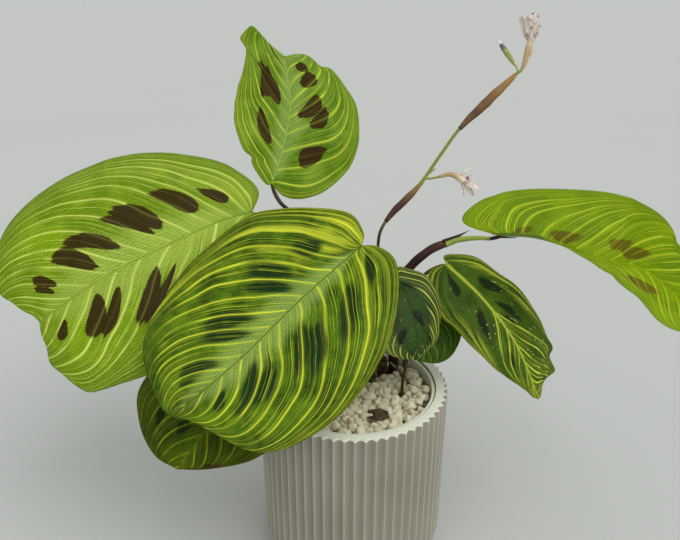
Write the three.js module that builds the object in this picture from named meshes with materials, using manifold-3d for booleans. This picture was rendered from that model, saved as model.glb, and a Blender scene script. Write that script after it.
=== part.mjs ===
// Potted prayer plant with light veins: a fluted cover pot, a liner, pale granules,
// eight arched leaves on their stalks and one flowering stem. Millimetres, +Z up,
// origin at the centre of the pot's foot, -Y towards the viewer.
import * as THREE from 'three';
import { mergeVertices } from 'three/addons/utils/BufferGeometryUtils.js';
import Module from 'manifold-3d';

const wasm = await Module();
wasm.setup();

// Pot, liner and soil
const POT_RADIUS = 52.5;
const POT_HEIGHT = 110;
const FLUTES = 60;
const FLUTE_DEPTH = 2.3;
const FOOT_ROUNDING = 20;
const POT_BORE_RADIUS = 46;
const POT_FLOOR = 7;
const POT_FLOOR_RADIUS = 34;
const POT_CONE_TOP = 29;
const SEAT_GAP = 0.3;
const LINER_TOP = 109;
const LINER_RADIUS = 45.6;
const LINER_BASE_RADIUS = 32.5;
const LINER_WALL = 1.8;
const LINER_CONE_TOP = 37;
const ROUND_SIDES = 48;
const SOIL_TOP = 103;
const GRANULE_RADIUS = 3.4;
const GRANULE_HEIGHT = 2.2;
const GRANULE_STEP = 5.2;
const GRANULE_JITTER = 2;
const STEM_FOOT = 92;
const STEM_CLEARANCE = 0.6;
const HOLE_DEPTH = 16;
const BRACT_CLEARANCE = 0.5;
const SLEEVE_WALL = 0.7;

// Leaves and stems
const BLADE_THICKNESS = 0.8;
const BLADE_ROWS = 24;
const BLADE_COLUMNS = 6;
const SMALL_BLADE_ROWS = 16;
const SMALL_BLADE_COLUMNS = 4;
const ROW_SPREAD = 0.9;
const VEIN_SWEEP = 0.35;
const CURL_WIDTH = 50;
const RIB_START_RADIUS = 1.1;
const RIB_TIP_RADIUS = 0.5;
const RIB_LENGTH = 0.6;
const RIB_GAP = 0.45;
const STEM_SIDES = 8;

// Colours
const POT_COLOUR = 0xd9dad2;
const LINER_COLOUR = 0xc4c6bf;
const GRANULE_COLOUR = 0xd8d2c0;
const STEM_COLOUR = 0x5a4638;
const SHEATH_COLOUR = 0x4a3038;
const STALK_COLOUR = 0x7f8a45;
const BRACT_COLOUR = 0x8a6a50;
const PETAL_COLOUR = 0xece5da;
const DEAD_COLOUR = 0x5b4030;

// Each leaf: the midrib from its base to its tip, then the direction that the upper face
// looks in, the angle at which each half rises from the midrib and how far it bends per
// 50 mm of width (degrees), all three at base, middle and tip. The outlines are flat:
// distance along the midrib, distance from it; the tip, where both end, isn't repeated.
const LEAVES = {
  front: {
    colour: 0x5f8a2e,
    midrib: [[4, 4, 192], [-27, -18, 172], [-53, -38, 153], [-70, -50, 142], [-87, -60, 131]],
    face: [[-0.2, -0.6, 0.77], [-0.2, -0.68, 0.7], [-0.1, -0.72, 0.7]],
    left: { rise: [6, 4, 2], bend: [-12, -14, -10],
      outline: [[0, 0], [-5, 8], [-4, 21], [11, 37], [34, 50], [66, 55], [91, 50], [105, 42],
        [111, 33], [116, 20], [121, 8]] },
    right: { rise: [8, 6, 2], bend: [-12, -12, -10],
      outline: [[0, 0], [-6, 5], [-9, 18], [1, 34], [14, 48], [28, 58], [46, 60], [71, 59],
        [95, 52], [111, 44], [121, 33], [126, 16], [128, 6]] },
  },
  left: {
    colour: 0x8fb445,
    midrib: [[-56, 37, 198], [-75, 31, 194], [-105, 17, 184], [-132, 3, 174], [-162.7, -13.4, 156.5]],
    face: [[0, -0.7, 0.7], [0, -0.72, 0.7], [0, -0.75, 0.66]],
    left: { rise: [4, 2, 2], bend: [-12, -14, -10],
      outline: [[0, 0], [-7, 12], [-2, 26], [10, 38], [30, 48], [60, 56], [90, 58], [102, 55.5],
        [112, 52], [121, 48.7], [126, 45.5], [129, 38.5], [131, 30], [132.8, 22],
        [129.8, 13.5], [128.6, 7]] },
    right: { rise: [10, 8, 4], bend: [-8, -10, -10],
      outline: [[0, 0], [-7, 10], [-2, 22], [10, 34], [29, 51], [49, 60], [68, 63], [91, 62],
        [112, 56], [128, 42], [134, 26], [131.6, 17], [129.5, 10], [126.8, 4.5]] },
  },
  under: {
    colour: 0x5d7a2a,
    midrib: [[-41, -12, 148], [-59, -28, 130], [-75, -45, 112], [-88, -58, 98]],
    face: [[-0.2, -0.6, 0.75], [-0.3, -0.65, 0.7], [-0.4, -0.75, 0.5]],
    left: { rise: [2, 2, 0], bend: [-12, -14, -10],
      outline: [[0, 0], [-6, 12], [2, 26], [20, 36], [40, 38], [54, 33], [64, 25], [75, 12]] },
    right: { rise: [2, 2, 0], bend: [-14, -14, -10],
      outline: [[0, 0], [-6, 12], [2, 28], [20, 42], [42, 50], [63, 50], [76, 36], [84, 16]] },
  },
  top: {
    colour: 0x8fb468,
    midrib: [[-46, 49, 210], [-41, 55, 223], [-37, 62, 239], [-35.2, 69, 254], [-38.5, 79, 275.5]],
    face: [[0, -0.88, 0.4], [0, -0.9, 0.4], [0, -0.9, 0.35]],
    left: { rise: [4, 4, 2], bend: [-12, -14, -10],
      outline: [[0, 0], [-1, 3], [4, 11], [8, 15], [11, 16], [15, 22], [31, 30], [48, 31.5],
        [60, 29], [66, 26], [73, 23], [81, 21], [87, 23.5], [91, 20], [93, 16], [90, 13],
        [84, 9], [79, 5], [76, 2]] },
    right: { rise: [4, 4, 0], bend: [-14, -14, -10],
      outline: [[0, 0], [-4, 8], [-3, 17], [2, 25], [11, 33], [20, 39], [32, 41], [45, 38],
        [53, 31.5], [58, 28], [63, 24], [65, 19], [70, 15], [73, 11], [74, 6]] },
  },
  right: {
    colour: 0x9ec62e,
    midrib: [[81, 32, 186], [104, 32, 184], [137, 17, 178], [156, 3, 176], [178, -30, 158]],
    face: [[-0.1, 0.35, 0.92], [0, 0.3, 0.92], [0.2, 0.1, 0.95]],
    left: { rise: [58, 58, 50], bend: [-10, -14, -10],
      outline: [[0, 0], [-13, 3], [-20, 7], [-18, 14], [-6, 25], [10, 31], [24, 35], [40, 41],
        [53, 43], [65, 42], [72, 38], [77, 31], [79, 25.5], [84.5, 21.5], [97, 19],
        [112, 13]] },
    right: { rise: [5, 0, -18], bend: [-6, -8, -20],
      outline: [[0, 0], [-6, 8], [-2, 17], [10, 22], [28, 25], [44, 26], [56, 32.5],
        [66, 35.5], [82, 31], [93, 26], [102, 25], [110, 23.5], [118, 17]] },
  },
  dark: {
    colour: 0x3f7230,
    midrib: [[50, 16, 176], [69, 4, 161], [85, -13, 143], [96, -28.5, 119]],
    face: [[0.1, -0.5, 0.85], [0.4, -0.5, 0.7], [0.6, -0.6, 0.5]],
    left: { rise: [2, 2, 0], bend: [-12, -14, -10],
      outline: [[0, 0], [-4, 3], [1, 10], [10, 17], [22, 22], [31, 26], [45, 26], [59, 26],
        [66.5, 28.5], [69.5, 21.5], [73, 21], [78, 21.5], [79.5, 12], [82, 6], [86, 2.5]] },
    right: { rise: [-10, -14, 0], bend: [-24, -24, -10],
      outline: [[0, 0], [-3, 10], [4, 20], [18, 24], [30, 23], [48, 22], [62, 19.5],
        [69, 15.5], [75, 11], [81, 6.5], [85, 4]] },
  },
  small: {
    colour: 0x2f5a2c,
    midrib: [[22, 7, 172], [28, -3, 164], [32, -13, 151], [33, -21, 138]],
    face: [[0.1, -0.6, 0.75], [0.2, -0.7, 0.7], [0.4, -0.8, 0.5]],
    left: { rise: [2, 2, 0], bend: [-20, -24, -10],
      outline: [[0, 0], [-5, 4], [-3, 8], [4, 15], [11, 17], [21, 17], [30, 14], [37, 11]] },
    right: { rise: [2, 2, 0], bend: [-24, -24, -10],
      outline: [[0, 0], [-4, 6], [0, 15], [12, 22], [26, 23], [37, 20], [42, 17], [45, 10]] },
  },
  hidden: {
    colour: 0x4f7f45,
    midrib: [[36, 9, 157], [39, 2, 146], [39, -4, 137], [37, -9, 129]],
    face: [[0.1, -0.8, 0.5], [0.1, -0.8, 0.5], [0.1, -0.8, 0.5]],
    left: { rise: [2, 2, 0], bend: [-10, -10, -10],
      outline: [[0, 0], [-3, 5], [2, 14], [12, 20], [24, 17], [32, 9]] },
    right: { rise: [2, 2, 0], bend: [-10, -10, -10],
      outline: [[0, 0], [-3, 5], [2, 12], [12, 16], [24, 14], [32, 8]] },
  },
};

// Stalks from the soil to each blade's base, with their radius; the last point is left out,
// because the stalk goes on as the rib under its blade.
const STALKS = {
  front: { radius: 1.6, knee: 3, route: [[17, 18, STEM_FOOT], [17, 18, 112], [13, 19, 140],
    [10, 18, 165], [8, 14, 183]] },
  left: { radius: 1.5, knee: 1.5, route: [[10, 26, STEM_FOOT], [10, 26, 112], [5, 29, 132],
    [-10, 35, 160], [-34, 41, 186]] },
  under: { radius: 1.4, knee: 2, route: [[10, 14, STEM_FOOT], [10, 14, 112], [6, 12, 128],
    [-6, 7, 142], [-23, 0, 149]] },
  top: { radius: 1.3, knee: 0.8, route: [[16, 29, STEM_FOOT], [16, 29, 112], [10, 31, 132],
    [-8, 37, 167], [-32, 42, 193], [-41, 44, 201]] },
  dark: { radius: 1, knee: 1, route: [[31, 27, STEM_FOOT], [31, 27, 112], [31, 25, 132],
    [32, 19, 156], [39, 17, 169]] },
  small: { radius: 1, knee: 2, route: [[24, 31, STEM_FOOT], [24, 31, 112], [22, 30, 132],
    [19, 26, 150], [19, 16, 166]] },
  hidden: { radius: 0.9, knee: 1.5, route: [[27.5, -0.5, STEM_FOOT], [27.5, -0.5, 110],
    [29, 1, 120], [33, 7, 138], [35, 11, 150]] },
};
const SHEATH = { radius: 2.9, tipRadius: 2.2, route: [[24, 22, STEM_FOOT], [24, 22, 112],
  [23, 21, 145], [28, 19, 168], [42, 23, 181], [56, 26, 185.5]] };
const RIGHT_STALK = { radius: 1.25, knee: 0, route: [[57, 26.2, 185.7], [68.5, 28, 186],
  [76, 31, 184.4]] };
const FLOWER_STEM = { radius: 0.87, route: [[13, 37, STEM_FOOT], [13, 37, 112], [15, 32, 155],
  [13.3, 22.2, 184.3], [17.8, 29.6, 195.4], [35, 39.2, 211.1], [38.9, 42.3, 215.3],
  [50.2, 51, 229.2], [59, 57, 239.5], [73, 64, 251.5], [92.5, 73.5, 267.6]] };
const SIDE_STEM = [[39, 42.2, 215.5], [43, 41.8, 215.8], [46.5, 41.6, 216.6]];
const STUB = [[39, 42.4, 215.6], [42, 42.6, 218.6], [45, 42.8, 221]];
const TWIG = [[28.3, -0.2, 111.5], [25, 2, 117], [20.5, 4, 121]];

// Geometry helpers
const vector = ([x, y, z]) => new THREE.Vector3(x, y, z);
const radians = THREE.MathUtils.degToRad;
const smoothCurve = (points) => {
  const curve = new THREE.CatmullRomCurve3(points.map(vector), false, 'catmullrom', 0.5);
  curve.arcLengthDivisions = 400;
  return curve;
};

// A value given at the base, the middle and the tip, read at fraction f.
function between([base, middle, tip], f) {
  return base * (1 - f) * (1 - 2 * f) + 4 * middle * f * (1 - f) + tip * f * (2 * f - 1);
}

// Repeatable pseudo-random numbers from 0 to 1.
function seeded(seed) {
  let state = seed;
  return () => {
    state = (state * 16807) % 2147483647;
    return state / 2147483647;
  };
}

function volumeOf(positions, index) {
  let volume = 0;
  const corner = (i) => new THREE.Vector3().fromArray(positions, 3 * i);
  for (let i = 0; i < index.length; i += 3) {
    const a = corner(index[i]);
    const b = corner(index[i + 1]);
    const c = corner(index[i + 2]);
    volume += a.dot(b.cross(c)) / 6;
  }
  return volume;
}

// Merges equal vertices, drops flat triangles and turns the faces outwards.
function closed(geometry) {
  geometry.deleteAttribute('normal');
  geometry.deleteAttribute('uv');
  const merged = mergeVertices(geometry, 1e-4);
  const old = merged.index.array;
  const index = [];
  for (let i = 0; i < old.length; i += 3) {
    const [a, b, c] = [old[i], old[i + 1], old[i + 2]];
    if (a !== b && b !== c && c !== a) {
      index.push(a, b, c);
    }
  }
  if (volumeOf(merged.attributes.position.array, index) < 0) {
    index.reverse();
  }
  merged.setIndex(index);
  return merged;
}

function toSolid(geometry) {
  const shape = closed(geometry);
  return new wasm.Manifold(new wasm.Mesh({
    numProp: 3,
    vertProperties: new Float32Array(shape.attributes.position.array),
    triVerts: new Uint32Array(shape.index.array),
  }));
}

function fromSolid(solid) {
  const mesh = solid.getMesh();
  const geometry = new THREE.BufferGeometry();
  geometry.setAttribute('position', new THREE.BufferAttribute(mesh.vertProperties, 3));
  geometry.setIndex(new THREE.BufferAttribute(mesh.triVerts, 1));
  return geometry;
}

const joined = (geometries) => fromSolid(
  geometries.map(toSolid).reduce((sum, next) => sum.add(next)),
);

// A lathed profile of [radius, fraction of the length] bent along a curve.
function bentLathe(curve, profile, stations, sides = STEM_SIDES) {
  const points = profile.map(([radius, f]) => new THREE.Vector2(radius, f));
  const geometry = new THREE.LatheGeometry(points, sides);
  const frames = curve.computeFrenetFrames(stations, false);
  const position = geometry.attributes.position;
  for (let i = 0; i < position.count; i += 1) {
    const f = THREE.MathUtils.clamp(position.getY(i), 0, 1);
    const k = Math.round(f * stations);
    const place = curve.getPointAt(f)
      .addScaledVector(frames.normals[k], position.getX(i))
      .addScaledVector(frames.binormals[k], position.getZ(i));
    position.setXYZ(i, place.x, place.y, place.z);
  }
  return geometry;
}

// A solid stem along a curve; radiusAt gives its radius at a fraction of the length.
function stem(curve, radiusAt, stations, sides = STEM_SIDES) {
  const profile = [[0, 0]];
  for (let k = 0; k <= stations; k += 1) {
    profile.push([radiusAt(k / stations), k / stations]);
  }
  profile.push([0, 1]);
  return bentLathe(curve, profile, stations, sides);
}

// A sheath open at both ends round a stem: the outside up, the inside down.
function sleeve(curve, innerRadius, outsideAt, stations, sides = STEM_SIDES) {
  const profile = [];
  for (let k = 0; k <= stations; k += 1) {
    profile.push([outsideAt(k / stations), k / stations]);
  }
  for (let k = stations; k >= 0; k -= 1) {
    profile.push([innerRadius, k / stations]);
  }
  profile.push(profile[0]);
  return bentLathe(curve, profile, stations, sides);
}

// A thin closed sheet of rows and columns. place(i, j) gives a point on its middle
// surface and the normal there; both faces are split into triangles alike.
function sheet(rows, columns, place, thickness = BLADE_THICKNESS) {
  const positions = [];
  const width = columns + 1;
  const layer = (rows + 1) * width;
  for (const side of [0.5, -0.5]) {
    for (let i = 0; i <= rows; i += 1) {
      for (let j = 0; j <= columns; j += 1) {
        const { point, normal } = place(i, j);
        positions.push(...point.clone().addScaledVector(normal, side * thickness).toArray());
      }
    }
  }
  const index = [];
  const quad = (a, b, c, d) => index.push(a, b, c, a, c, d);
  for (let i = 0; i < rows; i += 1) {
    for (let j = 0; j < columns; j += 1) {
      const a = i * width + j;
      quad(a, a + 1, a + width + 1, a + width);
      index.push(layer + a, layer + a + width + 1, layer + a + 1);
      index.push(layer + a, layer + a + width, layer + a + width + 1);
    }
  }
  const wall = (a, b) => quad(b, a, layer + a, layer + b);
  for (let i = 0; i < rows; i += 1) {
    wall((i + 1) * width, i * width);
    wall(i * width + columns, (i + 1) * width + columns);
  }
  for (let j = 0; j < columns; j += 1) {
    wall(j, j + 1);
    wall(rows * width + j + 1, rows * width + j);
  }
  const geometry = new THREE.BufferGeometry();
  geometry.setAttribute('position', new THREE.Float32BufferAttribute(positions, 3));
  geometry.setIndex(index);
  return geometry;
}

// Leaves
// The bent surface of a leaf: flat coordinates (x along the midrib, y to the right of it,
// seen from above with the tip ahead) to a point in space.
function leafSurface(leaf) {
  const curve = smoothCurve(leaf.midrib);
  const length = curve.getLength();
  const at = (x, y) => {
    const f = THREE.MathUtils.clamp(x / length, 0, 1);
    const tangent = curve.getTangentAt(f);
    const base = curve.getPointAt(f).addScaledVector(tangent, x - f * length);
    const face = vector([0, 1, 2].map((k) => between(leaf.face.map((way) => way[k]), f)));
    const across = tangent.clone().cross(face).normalize();
    const up = across.clone().cross(tangent);
    const half = y >= 0 ? leaf.right : leaf.left;
    const rise = radians(between(half.rise, f));
    const bend = radians(between(half.bend, f)) / CURL_WIDTH;
    const reach = Math.abs(y);
    const out = (Math.sin(rise + bend * reach) - Math.sin(rise)) / bend;
    const lift = (Math.cos(rise) - Math.cos(rise + bend * reach)) / bend;
    return base.addScaledVector(across, Math.sign(y) * out).addScaledVector(up, lift);
  };
  const step = 0.4;
  const normal = (x, y) => {
    const along = at(x + step, y).sub(at(x - step, y));
    const across = at(x, y + step).sub(at(x, y - step));
    return across.cross(along).normalize();
  };
  return { at, normal, length };
}

// Points along an outline at even steps of its length.
function outlinePoints(outline, length, count) {
  const curve = smoothCurve([...outline, [length, 0]].map(([x, y]) => [x, y, 0]));
  return Array.from({ length: count + 1 }, (_, i) => curve.getPointAt(i / count));
}

function blade(leaf, rows, columns) {
  const surface = leafSurface(leaf);
  const edges = {
    left: outlinePoints(leaf.left.outline, surface.length, rows),
    right: outlinePoints(leaf.right.outline, surface.length, rows),
  };
  return sheet(rows, 2 * columns, (i, j) => {
    const onMidrib = surface.length * (i / rows) ** ROW_SPREAD;
    const share = Math.abs(j - columns) / columns;
    const edge = (j < columns ? edges.left : edges.right)[i];
    const sweep = VEIN_SWEEP * share + (1 - VEIN_SWEEP) * share ** 2;
    const x = onMidrib + (edge.x - onMidrib) * sweep;
    const y = edge.y * share * (j < columns ? -1 : 1);
    return { point: surface.at(x, y), normal: surface.normal(x, y) };
  });
}

// A stalk that goes on under its blade as the midrib.
function stalkWithRib(leaf, stalk) {
  const surface = leafSurface(leaf);
  const ribPoints = [0, 0.06, 0.13, 0.25, 0.42, RIB_LENGTH].map((f) => {
    const x = f * surface.length;
    const radius = THREE.MathUtils.lerp(RIB_START_RADIUS, RIB_TIP_RADIUS, f / RIB_LENGTH);
    const knee = stalk.knee * Math.max(0, 1 - f / 0.1) ** 2;
    const crease = radians((between(leaf.left.rise, f) + between(leaf.right.rise, f)) / 2);
    const drop = (BLADE_THICKNESS / 2 + RIB_GAP + radius) / Math.cos(crease) + knee;
    return surface.at(x, 0).addScaledVector(surface.normal(x, 0), -drop).toArray();
  });
  const curve = smoothCurve([...stalk.route, ...ribPoints]);
  const stalkLength = smoothCurve([...stalk.route, ribPoints[0]]).getLength();
  const share = stalkLength / curve.getLength();
  const radiusAt = (f) => (f < share
    ? THREE.MathUtils.lerp(stalk.radius, RIB_START_RADIUS, (f / share) ** 4)
    : THREE.MathUtils.lerp(RIB_START_RADIUS, RIB_TIP_RADIUS, (f - share) / (1 - share)));
  return stem(curve, radiusAt, 15);
}

// Pot
// How far a flute stands back from the crest at an angle: a rounded zigzag.
function fluteDepth(angle) {
  return FLUTE_DEPTH * (0.5 - 0.5 * Math.cos(FLUTES * angle));
}

function pot() {
  const footRadius = POT_RADIUS - FOOT_ROUNDING;
  const profile = [new THREE.Vector2(0, 0)];
  const arcSteps = 4;
  for (let k = 0; k <= arcSteps; k += 1) {
    const turn = (k / arcSteps) * Math.PI / 2;
    profile.push(new THREE.Vector2(
      footRadius + FOOT_ROUNDING * Math.sin(turn),
      FOOT_ROUNDING * (1 - Math.cos(turn)),
    ));
  }
  profile.push(new THREE.Vector2(POT_RADIUS, POT_HEIGHT));
  profile.push(new THREE.Vector2(POT_BORE_RADIUS, POT_HEIGHT));
  profile.push(new THREE.Vector2(POT_BORE_RADIUS, POT_CONE_TOP));
  profile.push(new THREE.Vector2(POT_FLOOR_RADIUS, POT_FLOOR));
  profile.push(new THREE.Vector2(0, POT_FLOOR));
  const geometry = new THREE.LatheGeometry(profile, 2 * FLUTES);
  geometry.rotateX(Math.PI / 2);
  const position = geometry.attributes.position;
  for (let i = 0; i < position.count; i += 1) {
    const x = position.getX(i);
    const y = position.getY(i);
    const z = position.getZ(i);
    const radius = Math.hypot(x, y);
    const below = z < POT_FLOOR - 0.5;
    if (radius > footRadius + 1 && (radius > POT_BORE_RADIUS + 1 || below)) {
      const share = THREE.MathUtils.clamp((radius - footRadius) / (POT_RADIUS - footRadius), 0, 1);
      const scale = 1 - share * fluteDepth(Math.atan2(y, x)) / radius;
      position.setXY(i, x * scale, y * scale);
    }
  }
  return geometry;
}

function liner() {
  const floor = POT_FLOOR + SEAT_GAP;
  const profile = [
    [0, floor],
    [LINER_BASE_RADIUS, floor],
    [LINER_RADIUS, LINER_CONE_TOP],
    [LINER_RADIUS, LINER_TOP],
    [LINER_RADIUS - LINER_WALL, LINER_TOP],
    [LINER_RADIUS - LINER_WALL, LINER_CONE_TOP],
    [LINER_BASE_RADIUS - LINER_WALL, floor + LINER_WALL],
    [0, floor + LINER_WALL],
  ].map(([radius, z]) => new THREE.Vector2(radius, z));
  return new THREE.LatheGeometry(profile, ROUND_SIDES).rotateX(Math.PI / 2);
}

// Soil and granules
// Heaps of pale granules as relief: jittered places on a triangular grid, each a low dome.
function granulePlaces() {
  const random = seeded(41);
  const places = [];
  const reach = LINER_RADIUS - LINER_WALL - GRANULE_RADIUS;
  const rowStep = GRANULE_STEP * Math.sin(Math.PI / 3);
  const count = Math.ceil(reach / rowStep);
  for (let row = -count; row <= count; row += 1) {
    for (let column = -count; column <= count; column += 1) {
      const offset = row % 2 ? 0.5 : 0;
      const x = (column + offset) * GRANULE_STEP + (random() - 0.5) * GRANULE_JITTER;
      const y = row * rowStep + (random() - 0.5) * GRANULE_JITTER;
      const lift = 0.6 + 0.4 * random();
      if (Math.hypot(x, y) < reach) {
        places.push({ x, y, lift });
      }
    }
  }
  return places;
}

function substrate() {
  const radius = LINER_RADIUS - LINER_WALL - SEAT_GAP;
  const floor = POT_FLOOR + 2 * SEAT_GAP + LINER_WALL;
  const rings = 13;
  const places = granulePlaces();
  const heightAt = (x, y) => places.reduce((top, place) => {
    const share = Math.hypot(x - place.x, y - place.y) / GRANULE_RADIUS;
    const dome = share < 1 ? GRANULE_HEIGHT * place.lift * Math.sqrt(1 - share ** 2) : 0;
    return Math.max(top, SOIL_TOP + dome);
  }, SOIL_TOP);
  const profile = [
    new THREE.Vector2(0, floor),
    new THREE.Vector2(LINER_BASE_RADIUS - LINER_WALL - 1, floor),
    new THREE.Vector2(radius, LINER_CONE_TOP + 2),
  ];
  for (let k = rings; k >= 0; k -= 1) {
    profile.push(new THREE.Vector2(radius * (k / rings), SOIL_TOP));
  }
  const geometry = new THREE.LatheGeometry(profile, ROUND_SIDES).rotateX(Math.PI / 2);
  const position = geometry.attributes.position;
  for (let i = 0; i < position.count; i += 1) {
    const x = position.getX(i);
    const y = position.getY(i);
    if (position.getZ(i) > SOIL_TOP - 0.01 && Math.hypot(x, y) < radius - 0.1) {
      position.setZ(i, heightAt(x, y));
    }
  }
  const holes = [...Object.values(STALKS), SHEATH, FLOWER_STEM].map((standing) => {
    const bore = standing.radius + STEM_CLEARANCE;
    const hole = new THREE.CylinderGeometry(bore, bore, HOLE_DEPTH, STEM_SIDES);
    hole.rotateX(Math.PI / 2);
    const [x, y] = standing.route[0];
    return hole.translate(x, y, STEM_FOOT - STEM_CLEARANCE + HOLE_DEPTH / 2);
  });
  return fromSolid(holes.reduce((soil, hole) => soil.subtract(toSolid(hole)), toSolid(geometry)));
}

// A small leaf-shaped piece of even width along a line of points: petals and flakes.
// cup lifts its two edges, in millimetres.
function petal(points, halfWidth, face, cup = 0, rows = 5, columns = 1) {
  const curve = smoothCurve(points);
  const facing = vector(face);
  return sheet(rows, 2 * columns, (i, j) => {
    const f = i / rows;
    const tangent = curve.getTangentAt(f);
    const across = tangent.clone().cross(facing).normalize();
    const up = across.clone().cross(tangent).normalize();
    const side = (j - columns) / columns;
    const width = halfWidth * (0.25 + 0.75 * Math.sin(Math.PI * (0.12 + 0.8 * f)));
    const point = curve.getPointAt(f)
      .addScaledVector(across, side * width)
      .addScaledVector(up, cup * side ** 2);
    return { point, normal: up };
  });
}

function bud() {
  return stem(
    smoothCurve([[92.4, 73.9, 268.9], [89.6, 76, 272.2], [84.4, 79.7, 279.3], [81.3, 82, 283.5]]),
    (f) => 0.3 + 1.5 * Math.sin(Math.PI * (0.08 + 0.92 * f)) ** 0.8,
    8,
  );
}

function topFlower() {
  const tube = stem(
    smoothCurve([[94, 74.1, 268], [95.6, 75.4, 271.6], [98, 79, 278], [99.2, 81.5, 282.6],
      [99.6, 82.6, 286]]),
    (f) => 0.7 + 1.1 * f + 0.6 * Math.sin(Math.PI * f),
    5,
    6,
  );
  const petals = [
    petal([[99, 81.5, 283], [96, 82.5, 289], [93, 84, 296]], 2, [-0.4, -0.9, 0.2], 0.6),
    petal([[99.4, 81.5, 283], [98, 82, 290], [99.5, 84, 299]], 2.3, [0, -1, 0.2], 0.7),
    petal([[99.6, 82, 283], [102, 83, 289], [103.5, 85, 293]], 2.2, [0.4, -0.9, 0.2], 0.6),
    petal([[99.4, 83, 283], [101, 86.5, 290], [101.5, 88, 297]], 2.6, [0.2, 0.9, 0.3], 0.6),
    petal([[99.2, 80.8, 282.4], [99.4, 79.6, 285], [99.2, 79.6, 288.4]], 1.8, [0, -0.9, 0.5], 0.5),
    petal([[95.6, 74.8, 272.4], [99.3, 76.5, 276], [101.5, 78, 279]], 0.8, [0.6, -0.7, 0.3], 0.2),
  ];
  return joined([tube, ...petals]);
}

function sideFlower() {
  const tube = stem(
    smoothCurve([[47, 41.5, 216.8], [52.6, 41.5, 218.2], [57, 40.6, 217], [60.5, 39.6, 214.6]]),
    (f) => 0.9 + 1.1 * f,
    5,
    6,
  );
  const petals = [
    petal([[57.5, 40.4, 217.4], [62, 41, 220], [67.6, 41.6, 223]], 0.9, [-0.5, -0.3, 0.8], 0.2),
    petal([[59, 39.6, 215.6], [60.4, 38.6, 211.5], [61, 38, 207.6]], 0.8, [-0.8, -0.5, 0], 0.2),
    petal([[60, 39.6, 214.8], [64, 38, 210.4], [66, 37, 207.8]], 1.7, [-0.3, -0.9, -0.2], 0.5),
    petal([[60, 39.8, 214.8], [64.5, 38.6, 212.6], [68.8, 37.6, 210.6]], 1.9, [0.5, -0.6, 0.6], 0.6),
    petal([[60.4, 39.6, 215], [63, 39.6, 216.6], [65, 39.8, 218]], 1.5, [0.2, -0.9, 0.4], 0.5),
  ];
  return joined([tube, ...petals]);
}

// Bracts wrap the flowering stem as open sleeves.
function bract(from, to, widest, endRadius) {
  const curve = smoothCurve(FLOWER_STEM.route);
  const stations = 8;
  const points = Array.from({ length: stations + 1 }, (_, k) => (
    curve.getPointAt(THREE.MathUtils.lerp(from, to, k / stations)).toArray()
  ));
  const outsideAt = (f) => endRadius + (widest - endRadius) * Math.sin(Math.PI * f);
  return sleeve(smoothCurve(points), FLOWER_STEM.radius + BRACT_CLEARANCE, outsideAt, stations);
}

// Old dry sheaths stand round the stalks just above the granules.
function oldSheath(stalk, height, flare) {
  const curve = smoothCurve(stalk.route);
  const from = (SOIL_TOP + GRANULE_HEIGHT + SEAT_GAP - STEM_FOOT) / curve.getLength();
  const points = [0, 0.5, 1].map((k) => (
    curve.getPointAt(from + (k * height) / curve.getLength()).toArray()
  ));
  const inner = stalk.radius + STEM_CLEARANCE;
  return sleeve(smoothCurve(points), inner, (f) => inner + SLEEVE_WALL + flare * (1 - f), 4);
}

const sheath = () => stem(
  smoothCurve(SHEATH.route),
  (f) => THREE.MathUtils.lerp(SHEATH.radius, SHEATH.tipRadius, f ** 2),
  16,
);

const deadFlake = () => petal(
  [[7.5, -25, 105.3], [12.5, -27, 106.2], [18, -26, 105.6]], 3.4, [0, -0.3, 1], 1,
);

function flowerStem() {
  return joined([
    stem(smoothCurve(FLOWER_STEM.route), () => FLOWER_STEM.radius, 26),
    stem(smoothCurve(SIDE_STEM), () => 0.6, 4),
    stem(smoothCurve(STUB), (f) => 0.6 - 0.2 * f, 3),
  ]);
}

function thinStalk() {
  const twig = stem(smoothCurve(TWIG), (f) => 0.7 - 0.2 * f, 4);
  return joined([stalkWithRib(LEAVES.hidden, STALKS.hidden), twig]);
}

// The part
const group = new THREE.Group();

function add(name, geometry, color, roughness = 0.6) {
  const material = new THREE.MeshStandardMaterial({ color, roughness, metalness: 0 });
  const mesh = new THREE.Mesh(closed(geometry), material);
  mesh.name = name;
  group.add(mesh);
}

add('pot', pot(), POT_COLOUR, 0.75);
add('liner', liner(), LINER_COLOUR, 0.5);
add('substrate', substrate(), GRANULE_COLOUR, 0.95);
add('dead_flake', deadFlake(), DEAD_COLOUR, 0.9);

const SMALL_LEAVES = ['dark', 'small', 'hidden'];
for (const [name, leaf] of Object.entries(LEAVES)) {
  const small = SMALL_LEAVES.includes(name);
  const rows = small ? SMALL_BLADE_ROWS : BLADE_ROWS;
  const columns = small ? SMALL_BLADE_COLUMNS : BLADE_COLUMNS;
  add(`blade_${name}`, blade(leaf, rows, columns), leaf.colour, 0.45);
}

for (const [name, stalk] of Object.entries(STALKS)) {
  if (name !== 'hidden') {
    add(`stalk_${name}`, stalkWithRib(LEAVES[name], stalk), STEM_COLOUR);
  }
}
add('stalk_hidden', thinStalk(), STEM_COLOUR);
add('sheath_right', sheath(), SHEATH_COLOUR);
add('stalk_right', stalkWithRib(LEAVES.right, RIGHT_STALK), STALK_COLOUR);
add('old_sheath_front', oldSheath(STALKS.front, 11, 0.5), DEAD_COLOUR, 0.9);
add('old_sheath_under', oldSheath(STALKS.under, 7, 0.6), DEAD_COLOUR, 0.9);

add('flower_stem', flowerStem(), STALK_COLOUR);
add('bract_lower', bract(0.49, 0.62, 2.25, 2.05), BRACT_COLOUR, 0.7);
add('bract_upper', bract(0.79, 0.995, 3.2, 2.05), BRACT_COLOUR, 0.7);
add('bud', bud(), STALK_COLOUR);
add('flower_top', topFlower(), PETAL_COLOUR, 0.7);
add('flower_side', sideFlower(), PETAL_COLOUR, 0.7);

export default group;
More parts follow.
